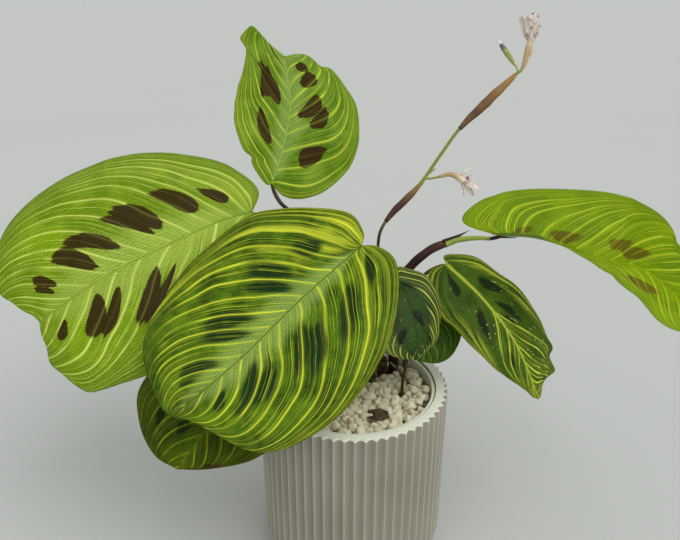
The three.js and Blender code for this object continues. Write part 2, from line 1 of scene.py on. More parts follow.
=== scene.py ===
"""A potted prayer plant with light veins: fine leaves, stems, flowers, granules and pot.

Shapes repeat the named values of the solids, in millimetres, and are made in metres.
"""
import math

import bmesh
import bpy
import numpy as np
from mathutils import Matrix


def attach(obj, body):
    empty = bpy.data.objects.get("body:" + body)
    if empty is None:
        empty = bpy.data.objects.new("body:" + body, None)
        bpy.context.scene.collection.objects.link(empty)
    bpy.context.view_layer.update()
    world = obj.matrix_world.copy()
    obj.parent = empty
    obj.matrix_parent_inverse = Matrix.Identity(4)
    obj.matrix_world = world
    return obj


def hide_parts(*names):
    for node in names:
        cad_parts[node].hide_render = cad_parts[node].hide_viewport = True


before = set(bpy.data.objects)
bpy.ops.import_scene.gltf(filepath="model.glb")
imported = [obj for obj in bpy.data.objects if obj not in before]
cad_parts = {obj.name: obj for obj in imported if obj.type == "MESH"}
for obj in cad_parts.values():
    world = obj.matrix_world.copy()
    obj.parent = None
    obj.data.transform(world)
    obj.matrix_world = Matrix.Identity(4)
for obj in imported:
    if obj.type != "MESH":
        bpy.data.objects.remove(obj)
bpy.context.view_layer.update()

MM = 0.001
TURN = 2 * math.pi

# Pot, liner and granules
FLUTES = 60
FLUTE_DEPTH = 2.3
POT_RADIUS = 52.5
POT_HEIGHT = 110
POT_BORE_RADIUS = 46
FOOT_ROUNDING = 20
LINER_RADIUS = 45.6
LINER_WALL = 1.8
LINER_TOP = 109
SOIL_TOP = 103
BED_RADIUS = 43.5

# Stems: where they start in the granules, and up to where they stand straight
STEM_FOOT = 92
STRAIGHT_TO = 112

# Blades
BLADE_THICKNESS = 0.5
CURL_WIDTH = 50
VEIN_SWEEP = 0.35
ROW_SPREAD = 0.9
MIDRIB_END_RADIUS = 0.8
MARK_ROUNDNESS = 2.6
FINE_GRID = (150, 48)
SMALL_GRID = (90, 30)
SMALL_LEAVES = ("dark", "small", "hidden")

# How a side vein leaves the midrib and runs towards the tip
VEIN_REACH = 0.77
VEIN_STEEPER = 1.9
BASE_VEINS = 0.35
VEIN_SHIFT = 0.23

# Skin of the leaves: threads between two veins, rows of cells to the edge, and the paler back
THREADS = 7.0
CELL_ROWS = 34.0
BACK_STRENGTH = 0.45

# Each leaf: its midrib, the way that its face looks at base, middle and tip, and the two halves
# with their angle at the midrib, their bend in degrees over CURL_WIDTH, and their outline from
# the stalk to the tip, as distance along the midrib and distance from it.
LEAVES = {
    "front": {
        "midrib": [[4, 4, 192], [-27, -18, 172], [-53, -38, 153], [-70, -50, 142], [-87, -60, 131]],
        "face": [[-0.2, -0.6, 0.77], [-0.2, -0.68, 0.7], [-0.1, -0.72, 0.7]],
        "left": {"rise": [6, 4, 2], "bend": [-12, -14, -10], "outline": [
            [-5, 8], [-4, 21], [11, 37], [34, 50], [66, 55], [91, 50], [105, 42], [111, 33], [116, 20],
            [121, 8]]},
        "right": {"rise": [8, 6, 2], "bend": [-12, -12, -10], "outline": [
            [-6, 5], [-9, 18], [1, 34], [14, 48], [28, 58], [46, 60], [71, 59], [95, 52], [111, 44],
            [121, 33], [126, 16], [128, 6]]},
    },
    "left": {
        "midrib": [[-56, 37, 198], [-75, 31, 194], [-105, 17, 184], [-132, 3, 174], [-162.7, -13.4, 156.5]],
        "face": [[0, -0.7, 0.7], [0, -0.72, 0.7], [0, -0.75, 0.66]],
        "left": {"rise": [4, 2, 2], "bend": [-12, -14, -10], "outline": [
            [-7, 12], [-2, 26], [10, 38], [30, 48], [60, 56], [90, 58], [102, 55.5], [112, 52], [121, 48.7],
            [126, 45.5], [129, 38.5], [131, 30], [132.8, 22], [129.8, 13.5], [128.6, 7]]},
        "right": {"rise": [10, 8, 4], "bend": [-8, -10, -10], "outline": [
            [-7, 10], [-2, 22], [10, 34], [29, 51], [49, 60], [68, 63], [91, 62], [112, 56], [128, 42],
            [134, 26], [131.6, 17], [129.5, 10], [126.8, 4.5]]},
    },
    "under": {
        "midrib": [[-41, -12, 148], [-59, -28, 130], [-75, -45, 112], [-88, -58, 98]],
        "face": [[-0.2, -0.6, 0.75], [-0.3, -0.65, 0.7], [-0.4, -0.75, 0.5]],
        "left": {"rise": [2, 2, 0], "bend": [-12, -14, -10], "outline": [
            [-6, 12], [2, 26], [20, 36], [40, 38], [54, 33], [64, 25], [75, 12]]},
        "right": {"rise": [2, 2, 0], "bend": [-14, -14, -10], "outline": [
            [-6, 12], [2, 28], [20, 42], [42, 50], [63, 50], [76, 36], [84, 16]]},
    },
    "top": {
        "midrib": [[-46, 49, 210], [-41, 55, 223], [-37, 62, 239], [-35.2, 69, 254], [-38.5, 79, 275.5]],
        "face": [[0, -0.88, 0.4], [0, -0.9, 0.4], [0, -0.9, 0.35]],
        "left": {"rise": [4, 4, 2], "bend": [-12, -14, -10], "outline": [
            [-1, 3], [4, 11], [8, 15], [11, 16], [15, 22], [31, 30], [48, 31.5], [60, 29], [66, 26],
            [73, 23], [81, 21], [87, 23.5], [91, 20], [93, 16], [90, 13], [84, 9], [79, 5], [76, 2]]},
        "right": {"rise": [4, 4, 0], "bend": [-14, -14, -10], "outline": [
            [-4, 8], [-3, 17], [2, 25], [11, 33], [20, 39], [32, 41], [45, 38], [53, 31.5], [58, 28],
            [63, 24], [65, 19], [70, 15], [73, 11], [74, 6]]},
    },
    "right": {
        "midrib": [[81, 32, 186], [104, 32, 184], [137, 17, 178], [156, 3, 176], [178, -30, 158]],
        "face": [[-0.1, 0.35, 0.92], [0, 0.3, 0.92], [0.2, 0.1, 0.95]],
        "left": {"rise": [58, 58, 50], "bend": [-10, -14, -10], "outline": [
            [-13, 3], [-20, 7], [-18, 14], [-6, 25], [10, 31], [24, 35], [40, 41], [53, 43], [65, 42],
            [72, 38], [77, 31], [79, 25.5], [84.5, 21.5], [97, 19], [112, 13]]},
        "right": {"rise": [5, 0, -18], "bend": [-6, -8, -20], "outline": [
            [-6, 8], [-2, 17], [10, 22], [28, 25], [44, 26], [56, 32.5], [66, 35.5], [82, 31], [93, 26],
            [102, 25], [110, 23.5], [118, 17]]},
    },
    "dark": {
        "midrib": [[50, 16, 176], [69, 4, 161], [85, -13, 143], [96, -28.5, 119]],
        "face": [[0.1, -0.5, 0.85], [0.4, -0.5, 0.7], [0.6, -0.6, 0.5]],
        "left": {"rise": [2, 2, 0], "bend": [-12, -14, -10], "outline": [
            [-4, 3], [1, 10], [10, 17], [22, 22], [31, 26], [45, 26], [59, 26], [66.5, 28.5], [69.5, 21.5],
            [73, 21], [78, 21.5], [79.5, 12], [82, 6], [86, 2.5]]},
        "right": {"rise": [-10, -14, 0], "bend": [-24, -24, -10], "outline": [
            [-3, 10], [4, 20], [18, 24], [30, 23], [48, 22], [62, 19.5], [69, 15.5], [75, 11], [81, 6.5],
            [85, 4]]},
    },
    "small": {
        "midrib": [[22, 7, 172], [28, -3, 164], [32, -13, 151], [33, -21, 138]],
        "face": [[0.1, -0.6, 0.75], [0.2, -0.7, 0.7], [0.4, -0.8, 0.5]],
        "left": {"rise": [2, 2, 0], "bend": [-20, -24, -10], "outline": [
            [-5, 4], [-3, 8], [4, 15], [11, 17], [21, 17], [30, 14], [37, 11]]},
        "right": {"rise": [2, 2, 0], "bend": [-24, -24, -10], "outline": [
            [-4, 6], [0, 15], [12, 22], [26, 23], [37, 20], [42, 17], [45, 10]]},
    },
    "hidden": {
        "midrib": [[36, 9, 157], [39, 2, 146], [39, -4, 137], [37, -9, 129]],
        "face": [[0.1, -0.8, 0.5], [0.1, -0.8, 0.5], [0.1, -0.8, 0.5]],
        "left": {"rise": [2, 2, 0], "bend": [-10, -10, -10], "outline": [
            [-3, 5], [2, 14], [12, 20], [24, 17], [32, 9]]},
        "right": {"rise": [2, 2, 0], "bend": [-10, -10, -10], "outline": [
            [-3, 5], [2, 12], [12, 16], [24, 14], [32, 8]]},
    },
}

# Dark marks on each half, in percent: the place along the leaf where their vein starts, the place
# across (0 at the midrib, 100 at the edge), half their width and half their length; then their lean.
# The last one on the left half of the top leaf is no mark but a painted shadow: the dark slit under its
# rolled margin.
MARKS_AND_SHADOWS = {
    "front": {
        "left": [
            (-11, 65, 5.7, 11.4, -0.5), (7, 53, 9.6, 19.5, -0.2), (25, 46, 8.8, 21.7, -0.1),
            (33, 33, 5.7, 21.7, 0), (48.5, 37, 8.1, 17.2, 0), (56, 30, 6.7, 22.9, 0),
            (70, 30, 4.9, 18.3, 0)],
        "right": [
            (0, 50, 5.7, 13.8, -0.5), (16.5, 39, 5.7, 16, -0.15), (24.5, 28, 4.9, 19.5, -0.1),
            (40, 33, 7.3, 20.6, 0), (48, 25, 5.8, 20.6, 0), (66, 26, 7.4, 22.9, 0.1),
            (74.5, 28, 2.9, 13.8, 0.1)],
    },
    "left": {
        "left": [
            (27.7, 41, 3, 18.2, 0), (34, 36, 5.1, 21.5, -0.14), (50.5, 35, 4.4, 20.4, -0.12),
            (59.3, 32, 6.4, 21.5, -0.22), (74.4, 47, 4.2, 19.3, -0.2), (9.7, 45, 6.4, 17, -0.2)],
        "right": [
            (-3.9, 51, 3.1, 12.5, -0.35), (9.2, 43, 5.7, 17, -0.27), (25.3, 35, 5.6, 18.2, -0.17),
            (31.4, 31, 3, 18.2, -0.06), (44, 32, 5.2, 18, -0.1), (54.6, 29, 5.3, 20.4, -0.24),
            (66.4, 42, 3.8, 17, -0.25), (71.9, 38, 2.6, 15.9, -0.22)],
    },
    "under": {
        "left": [
            (8, 42, 7.3, 15.1, 0), (25, 20, 12.2, 15.1, 0), (57, 82, 7.3, 8.6, -0.4)],
        "right": [
            (20, 50, 12.2, 17.3, 0), (40, 62, 8.5, 13, 0.3), (60, 28, 7.3, 13, 0)],
    },
    "top": {
        "left": [
            (19, 41, 8.5, 16, -0.1), (50, 37, 12, 17, 0.1), (45, 51, 15, 18, -0.5),
            # Painted shadow, not a mark: the dark slit under the rolled left margin near the tip.
            (76, 66, 2.1, 32.4, -0.25)],
        "right": [
            (10, 47, 7.8, 17, -0.45), (31.5, 42, 6, 13.5, -0.18), (43, 29, 6.7, 19.4, -0.15),
            (57.5, 42, 8.5, 20, -0.25), (70, 50, 8.5, 18, -0.36)],
    },
    "right": {
        "left": [
            (5, 30, 7, 11, -0.3), (22, 17, 6.7, 15.1, -0.1), (38.5, 25, 5.5, 9.7, -0.2),
            (47, 16, 6.1, 10.8, -0.3), (70, 30, 6.1, 14, -0.2)],
        "right": [
            (15, 40, 6.1, 15.1, -0.3), (42, 56, 10, 22, -0.7)],
    },
    "dark": {
        "left": [
            (3, 46, 7.3, 21.6, -0.4), (23, 33, 6.1, 17.3, -0.1), (33, 20, 4.3, 10.8, 0),
            (62, 72, 8.5, 16.2, 0)],
        "right": [
            (20, 40, 6.7, 21.6, -0.1), (-3, 42, 7.3, 13, -0.6), (50, 35, 4.9, 13, 0.1)],
    },
    "small": {
        "left": [
            (42, 16, 11, 21.6, 0), (5, 35, 6.1, 16.2, 0), (55, 60, 12.2, 17.3, 0)],
        "right": [
            (10, 20, 7.3, 15.1, 0), (50, 40, 12.2, 21.6, 0)],
    },
    "hidden": {
        "left": [(40, 40, 9.8, 21.6, 0)],
        "right": [(40, 40, 9.8, 21.6, 0)],
    },
}

TONES = ("deep", "light", "band", "vein", "mark", "rib", "tip", "margin", "base")

# How a leaf is coloured where LOOKS says nothing else. Each leaf there adds its tones, the shares
# of band, tip, margin and base, and its number of strong veins. Pairs are for the left and the
# right half.
PLAIN_LOOK = {
    "band_width": 0.2,  # pale band beside the midrib
    "main": 1.0,  # strength of the strong veins
    "medium": 0.9,  # of the veins between them
    "fine": 0.5,  # of the finest veins
    "width": 0.9,  # of all the veins
    "wobble": 0.5,  # how unevenly the veins are spaced
    "power": (2.0, 2.0),  # curve of the veins
    "lean": ((0, 0), (0, 0)),  # how far they lean back, and how much they spread outwards
    "edge_fade": (0, 0),  # how much they fade at the margin
    "tip_fade": 0,  # and at the tip
    "outer_only": False,  # veins only at the margin and the tip
    "vein_from": None,  # veins only from this share of the length on
    "flush": (0, 0),  # patches of the veins' colour near the base
    "flush_from": 0.2,  # how near to the midrib they come
    "mark_edge": 0.4,  # softness of the dark marks
    "cover": 0.5,  # how much the marks cover the veins
    "rib_width": 0.3,  # half width of the midrib's line
    "hatch": 0.14,  # pale threads between the veins
    "dots": 0,  # rows of pale dots
    "burnt": 0,  # brown edge
    "gloss": 0.08,  # strength of the shine
}
LOOKS = {
    "front": {
        "tones": "284802 52760c 8ca852 dce43c 12300c 46660c 203a02 2c4a06 6c8c12",
        "shares": (0.7, 0.85, 0.8, 0.5), "veins": (10, 13), "band_width": 0.24, "medium": 0.7, "fine": 0.38,
        "power": (2.4, 1.9), "lean": ((-0.2, 0.6), (-0.2, 0.65)), "edge_fade": (0.1, 0.85), "tip_fade": 0.7,
        "flush": (0.15, 0.55), "mark_edge": 0.5, "cover": 0.3, "rib_width": 0.12,
    },
    "left": {
        "tones": "648402 7e9e0c 9fb74c d0df68 342202 7a9a24 6c8c02 587802 a4be48",
        "shares": (0.65, 0.6, 0.8, 0.8), "veins": (9, 11), "band_width": 0.38, "medium": 0.8, "fine": 0.45,
        "lean": ((-0.1, 0), (-0.2, 0)), "edge_fade": (0.4, 0.4), "flush": (0.1, 0.1), "mark_edge": 0.12,
        "cover": 0.9, "rib_width": 0.2, "hatch": 0.1,
    },
    "under": {
        "tones": "2c4202 405802 4c6a0c a0aa10 162a02 647c0c 445008 384004 526e12",
        "shares": (0.4, 0.5, 0.5, 0.5), "veins": (8, 8), "main": 0.9, "medium": 0.6, "fine": 0.4,
        "width": 0.8, "edge_fade": (0.8, 0.8), "flush": (0.4, 0.4), "burnt": 0.95,
    },
    "top": {
        "tones": "4f760a 70942a 86a450 ccda44 36200a 9ab450 769648 5c7e10 547c04",
        "shares": (0.7, 0.6, 0.6, 0.7), "veins": (9, 8), "band_width": 0.3, "width": 0.85,
        "power": (2.2, 2.0), "lean": ((-0.2, 0), (-0.25, 0)), "edge_fade": (0.1, 0.2), "flush": (0.3, 0.1),
        "mark_edge": 0.12, "cover": 0.8, "rib_width": 0.15,
    },
    "right": {
        "tones": "658402 789602 82a002 d6e436 5e5806 8aa40c 7c9202 6a8a02 6e8e02",
        "shares": (0.5, 0.5, 0.4, 0.4), "veins": (14, 12), "main": 0.9, "fine": 0.6, "width": 0.6,
        "wobble": 0.2, "power": (2.3, 2.1), "lean": ((-0.2, 0), (-0.1, 0)), "edge_fade": (0.6, 0.5),
        "mark_edge": 0.3, "cover": 0.4, "hatch": 0.0,
    },
    "dark": {
        "tones": "284202 3c5a06 466808 ccd544 102202 aab63c 2c4806 304c08 46641a",
        "shares": (0.5, 0.5, 0.4, 0.5), "veins": (9, 8), "width": 1.35, "power": (1.6, 1.6),
        "lean": ((-0.25, 0), (0.1, 0)), "edge_fade": (0.5, 0.4), "vein_from": 0.34, "flush": (0.6, 0.5),
        "flush_from": 0.6, "rib_width": 0.75, "hatch": 0.06, "dots": 0.9,
    },
    "small": {
        "tones": "1a2e06 28440e 32501a c3cc55 0a1a04 2a4410 203008 24380a 5c7424",
        "shares": (0.5, 0.4, 0.4, 0.5), "veins": (6, 7), "band_width": 0.3, "medium": 0.7, "fine": 0.4,
        "width": 1.3, "outer_only": True, "mark_edge": 0.5, "cover": 0.8, "hatch": 0.05, "dots": 0.4,
        "gloss": 0.13,
    },
    "hidden": {
        # Painted shade: the hidden leaf's greens are made dark for the shade that the leaves over it cast.
        "tones": "2a4a0a 385a14 446622 98ac3c 24440a 70903a 3c600c 3c600c 527a20",
        "shares": (0.4, 0.4, 0.4, 0.4), "veins": (6, 6), "band_width": 0.3, "main": 0.35, "medium": 0.2,
        "fine": 0.15, "width": 0.7, "edge_fade": (0.3, 0.3),
    },
}

# How far the edges of the leaves wave up and down.
RUFFLE = {"dark": 1.1, "top": 0.9}
PLAIN_RUFFLE = 0.6


def rooted(x, y, *points, straight_to=STRAIGHT_TO):
    """The route of a stem that stands straight in the granules before it bends."""
    return [[x, y, STEM_FOOT], [x, y, straight_to], *points]


# Stalks: radius, how far the bend under the blade's base hangs below it, tones from dark to
# light and where it meets the blade, and route.
GREENISH = ("4f4a24", "6c6a30", "7d9a3a")
STALKS = {
    "front": {"radius": 1.6, "knee": 3, "tones": GREENISH,
              "route": rooted(17, 18, [13, 19, 140], [10, 18, 165], [8, 14, 183])},
    "left": {"radius": 1.5, "knee": 1.5, "tones": GREENISH,
             "route": rooted(10, 26, [5, 29, 132], [-10, 35, 160], [-34, 41, 186])},
    "under": {"radius": 1.4, "knee": 2, "tones": GREENISH,
              "route": rooted(10, 14, [6, 12, 128], [-6, 7, 142], [-23, 0, 149])},
    "top": {"radius": 1.3, "knee": 0.8, "tones": ("33251d", "4c3a2d", "7d9a4a"),
            "route": rooted(16, 29, [10, 31, 132], [-8, 37, 167], [-32, 42, 193], [-41, 44, 201])},
    "right": {"radius": 1.25, "knee": 0, "tones": ("7f8f35", "93a445", "341a20"),
              "route": [[50, 24.6, 184], [57, 26.2, 185.7], [68.5, 28, 186], [76, 31, 184.4]]},
    "dark": {"radius": 1, "knee": 1, "tones": ("4a3226", "5c4630", "7d9a3a"),
             "route": rooted(31, 27, [31, 25, 132], [32, 19, 156], [39, 17, 169])},
    "small": {"radius": 1, "knee": 2, "tones": ("43301f", "574028", "5c7a34"),
              "route": rooted(24, 31, [22, 30, 132], [19, 26, 150], [19, 16, 166])},
    "hidden": {"radius": 0.9, "knee": 1.5, "tones": ("3c2618", "5b3f22", "6a8540"),
               "route": rooted(27.5, -0.5, [29, 1, 120], [33, 7, 138], [35, 11, 150], straight_to=110)},
}
SHEATH = rooted(24, 22, [23, 21, 145], [28, 19, 168], [42, 23, 181], [56, 26, 185.5])
FLOWER_STEM = rooted(13, 37, [15, 32, 155], [13.3, 22.2, 184.3], [17.8, 29.6, 195.4], [35, 39.2, 211.1],
                     [38.9, 42.3, 215.3], [50.2, 51, 229.2], [59, 57, 239.5], [73, 64, 251.5],
                     [92.5, 73.5, 267.6])


# Lines and grids

def three_point(values, f):
    """A value given at the base, the middle and the tip, read at fraction f."""
    base, middle, tip = (np.asarray(v, float) for v in values)
    f = np.asarray(f)[..., None] if base.ndim else np.asarray(f)
    return base * (1 - f) * (1 - 2 * f) + middle * 4 * f * (1 - f) + tip * f * (2 * f - 1)


def unit(vectors):
    return vectors / np.linalg.norm(vectors, axis=-1, keepdims=True)


class Line:
    """A smooth line through points, read by the distance along it."""

    def __init__(self, points, steps=400):
        p = np.asarray(points, float)
        ends = np.vstack([2 * p[0] - p[1], p, 2 * p[-1] - p[-2]])
        place = np.linspace(0, 1, steps + 1) * (len(p) - 1)
        first = np.minimum(place.astype(int), len(p) - 2)
        t = (place - first)[:, None]
        a, b, c, d = (ends[first + k] for k in range(4))
        self.points = 0.5 * (2 * b + (c - a) * t + (2 * a - 5 * b + 4 * c - d) * t ** 2
                             + (3 * b - a - 3 * c + d) * t ** 3)
        steps_long = np.linalg.norm(np.diff(self.points, axis=0), axis=1)
        self.distance = np.concatenate([[0], np.cumsum(steps_long)])
        self.length = self.distance[-1]
        self.slope = unit(np.gradient(self.points, self.distance, axis=0))

    def at(self, distance):
        return np.stack([np.interp(distance, self.distance, column) for column in self.points.T], -1)

    def tangent(self, distance):
        return unit(np.stack([np.interp(distance, self.distance, column) for column in self.slope.T], -1))


def wave(x, y, seed):
    """Smooth bumps between -1 and 1, the same on each run."""
    total = 0
    for k, (fx, fy, size) in enumerate([(1, 0.6, 1), (-0.7, 1.3, 0.8), (1.9, 1.1, 0.5), (0.4, -2.3, 0.4)]):
        total = total + size * np.sin(fx * x + fy * y + 1.7 * seed + 2.3 * k)
    return total / 2.7


class Leaf:
    """The bent surface of a leaf, from flat coordinates to space."""

    def __init__(self, data):
        self.data = data
        self.midrib = Line(data["midrib"])
        self.length = self.midrib.length

    def place(self, x, y):
        x, y = np.broadcast_arrays(np.asarray(x, float), np.asarray(y, float))
        on_midrib = np.clip(x, 0, self.length)
        f = on_midrib / self.length
        tangent = self.midrib.tangent(on_midrib)
        base = self.midrib.at(on_midrib) + tangent * (x - on_midrib)[..., None]
        across = unit(np.cross(tangent, three_point(self.data["face"], f)))
        up = np.cross(across, tangent)
        right = y >= 0
        rise, bend = (
            np.radians(np.where(right, three_point(self.data["right"][key], f),
                                three_point(self.data["left"][key], f)))
            for key in ("rise", "bend")
        )
        bend = bend / CURL_WIDTH
        reach = np.abs(y)
        out = (np.sin(rise + bend * reach) - np.sin(rise)) / bend
        lift = (np.cos(rise) - np.cos(rise + bend * reach)) / bend
        return base + across * (np.sign(y) * out)[..., None] + up * lift[..., None]

    def normal(self, x, y, step=0.4):
        along = self.place(x + step, y) - self.place(x - step, y)
        across = self.place(x, y + step) - self.place(x, y - step)
        return unit(np.cross(across, along))

    def edge(self, side, rows):
        points = [[0, 0], *self.data[side]["outline"], [self.length, 0]]
        outline = Line([[*point, 0] for point in points], 800)
        return outline.at(np.linspace(0, 1, rows + 1) * outline.length)

    def grid(self, rows, columns):
        """Flat coordinates, and shares along and across, of a grid over both halves."""
        along = np.linspace(0, 1, rows + 1)[:, None]
        on_midrib = self.length * along ** ROW_SPREAD
        share = np.linspace(-1, 1, 2 * columns + 1)[None, :]
        reach = np.abs(share)
        left, right = self.edge("left", rows), self.edge("right", rows)
        edge_x = np.where(share < 0, left[:, :1], right[:, :1])
        edge_y = np.where(share < 0, left[:, 1:2], right[:, 1:2])
        sweep = VEIN_SWEEP * reach + (1 - VEIN_SWEEP) * reach ** 2
        x = on_midrib + (edge_x - on_midrib) * sweep
        return x, edge_y * share, along + 0 * share, share + 0 * along


def vein_start(along, reach, power):
    """Where on the midrib the side vein through a point starts, below 0 past the base."""
    low = np.full(along.shape, -3.3)
    high = np.ones(along.shape)
    for _ in range(30):
        start = (low + high) / 2
        there = start + (1 - start) * VEIN_REACH * reach ** (power * np.exp(-VEIN_STEEPER * start))
        short = there < along
        low = np.where(short, start, low)
        high = np.where(short, high, start)
    start = (low + high) / 2
    return np.where(start < 0, -BASE_VEINS * np.log1p(np.maximum(0, -start) / BASE_VEINS), start)


# Meshes

def triples(x, y, z):
    """Rows of three numbers from three arrays or numbers."""
    return np.stack(np.broadcast_arrays(x, y, z), -1).reshape(-1, 3).astype(float)


def grid_faces(rows, columns, offset=0, flip=False, wrap=False):
    """Quads of a grid of (rows + 1) lines of points, closed round when wrap is true."""
    width = columns if wrap else columns + 1
    i, j = np.meshgrid(np.arange(rows), np.arange(columns), indexing="ij")
    k = (j + 1) % columns if wrap else j + 1
    quads = np.stack([i * width + j, i * width + k, (i + 1) * width + k, (i + 1) * width + j], -1)
    quads = quads.reshape(-1, 4) + offset
    return quads[:, ::-1] if flip else quads


def put(name, data):
    thing = bpy.data.objects.new(name, data)
    bpy.context.scene.collection.objects.link(thing)
    return thing


def make_piece(name, points, faces, materials, nodes, attributes=None, face_materials=None):
    """A mesh object from points in millimetres, riding with the part."""
    mesh = bpy.data.meshes.new(name)
    places = (np.asarray(points).reshape(-1, 3) * MM).tolist()
    mesh.from_pydata(places, [], [[int(corner) for corner in face] for face in faces])
    mesh.validate()
    for key, values in (attributes or {}).items():
        layer = mesh.attributes.new(key, "FLOAT_VECTOR", "POINT")
        layer.data.foreach_set("vector", np.asarray(values, np.float32).ravel())
    for material in materials:
        mesh.materials.append(material)
    mesh.polygons.foreach_set("use_smooth", [True] * len(mesh.polygons))
    if face_materials is not None:
        mesh.polygons.foreach_set("material_index", face_materials)
    mesh.update()
    piece = put(name, mesh)
    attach(piece, "root")
    if nodes:
        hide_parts(*nodes)


def round_rows(line, radii, sides, lumps=0.0, seed=0):
    """Rings of points along a line; radii are read at even fractions of its length."""
    count = len(radii)
    distance = np.linspace(0, line.length, count)
    middle, tangent = line.at(distance), line.tangent(distance)
    side = np.zeros((count, 3))
    start = np.cross(tangent[0], [0.3, 0.9, 0.1])
    side[0] = start / np.linalg.norm(start)
    for k in range(1, count):
        turned = side[k - 1] - tangent[k] * (side[k - 1] @ tangent[k])
        side[k] = turned / np.linalg.norm(turned)
    other = np.cross(tangent, side)
    angle = np.linspace(0, TURN, sides, endpoint=False)
    size = np.asarray(radii)[:, None] * (1 + lumps * wave(angle, distance[:, None] * 0.5, seed))
    return (middle[:, None] + side[:, None] * (size * np.cos(angle))[..., None]
            + other[:, None] * (size * np.sin(angle))[..., None])


class Parts:
    """Several closed shapes gathered into one mesh."""

    def __init__(self):
        self.points = []
        self.faces = []
        self.where = []
        self.count = 0

    def add(self, points, faces, where):
        points = np.asarray(points).reshape(-1, 3)
        self.points.append(points)
        self.where.append(np.broadcast_to(where, points.shape))
        self.faces.extend((np.asarray(face) + self.count).tolist() for face in faces)
        self.count += len(points)

    def stem(self, points, radii, sides=12, lumps=0.0, seed=0, tint=0.0):
        line = Line(points)
        rings = round_rows(line, radii, sides, lumps, seed)
        rows = len(radii) - 1
        faces = [*grid_faces(rows, sides, wrap=True), range(sides - 1, -1, -1),
                 range(rows * sides, (rows + 1) * sides)]
        along = np.linspace(0, 1, rows + 1)[:, None]
        self.add(rings, faces, triples(along, along * line.length, np.full((1, sides), tint)))

    def sheet(self, place, rows, columns, thickness, tint=0.0):
        """A thin closed sheet; place gives points and normals for shares along and across."""
        along, across = np.meshgrid(np.linspace(0, 1, rows + 1), np.linspace(-1, 1, columns + 1),
                                    indexing="ij")
        middle, normal = place(along, across)
        points = [(middle + side * normal * thickness / 2).reshape(-1, 3) for side in (1, -1)]
        size = along.size
        faces = [*grid_faces(rows, columns), *grid_faces(rows, columns, size, True),
                 *rim_faces(rows, columns, size)]
        where = triples(along, across, tint)
        self.add(np.concatenate(points), faces, np.concatenate([where, where]))

    def make(self, name, material, slot, *nodes):
        make_piece(name, np.concatenate(self.points), self.faces, [material], nodes,
                   {"where": np.concatenate(self.where)})


def rim_faces(rows, columns, size):
    """Quads that close two equal grids, one below the other, round their edge."""
    width = columns + 1
    loop = [*range(columns), *(i * width + columns for i in range(rows)),
            *(rows * width + j for j in range(columns, 0, -1)), *(i * width for i in range(rows, 0, -1))]
    return [[b, a, a + size, b + size] for a, b in zip(loop, loop[1:] + loop[:1])]


# Materials

def colour(code):
    """Scene colour of a code of two hex digits for each channel."""
    channels = [int(code[k:k + 2], 16) / 255 for k in (0, 2, 4)]
    return (*(c / 12.92 if c <= 0.04045 else ((c + 0.055) / 1.055) ** 2.4 for c in channels), 1.0)


class Value:
    """A number or colour that varies over a surface; arithmetic on it adds nodes."""

    def __init__(self, net, socket):
        self.net = net
        self.socket = socket

    def __add__(self, other):
        return self.net.math("ADD", self, other)

    def __sub__(self, other):
        return self.net.math("SUBTRACT", self, other)

    def __rsub__(self, other):
        return self.net.math("SUBTRACT", other, self)

    def __mul__(self, other):
        return self.net.math("MULTIPLY", self, other)

    def __truediv__(self, other):
        return self.net.math("DIVIDE", self, other)


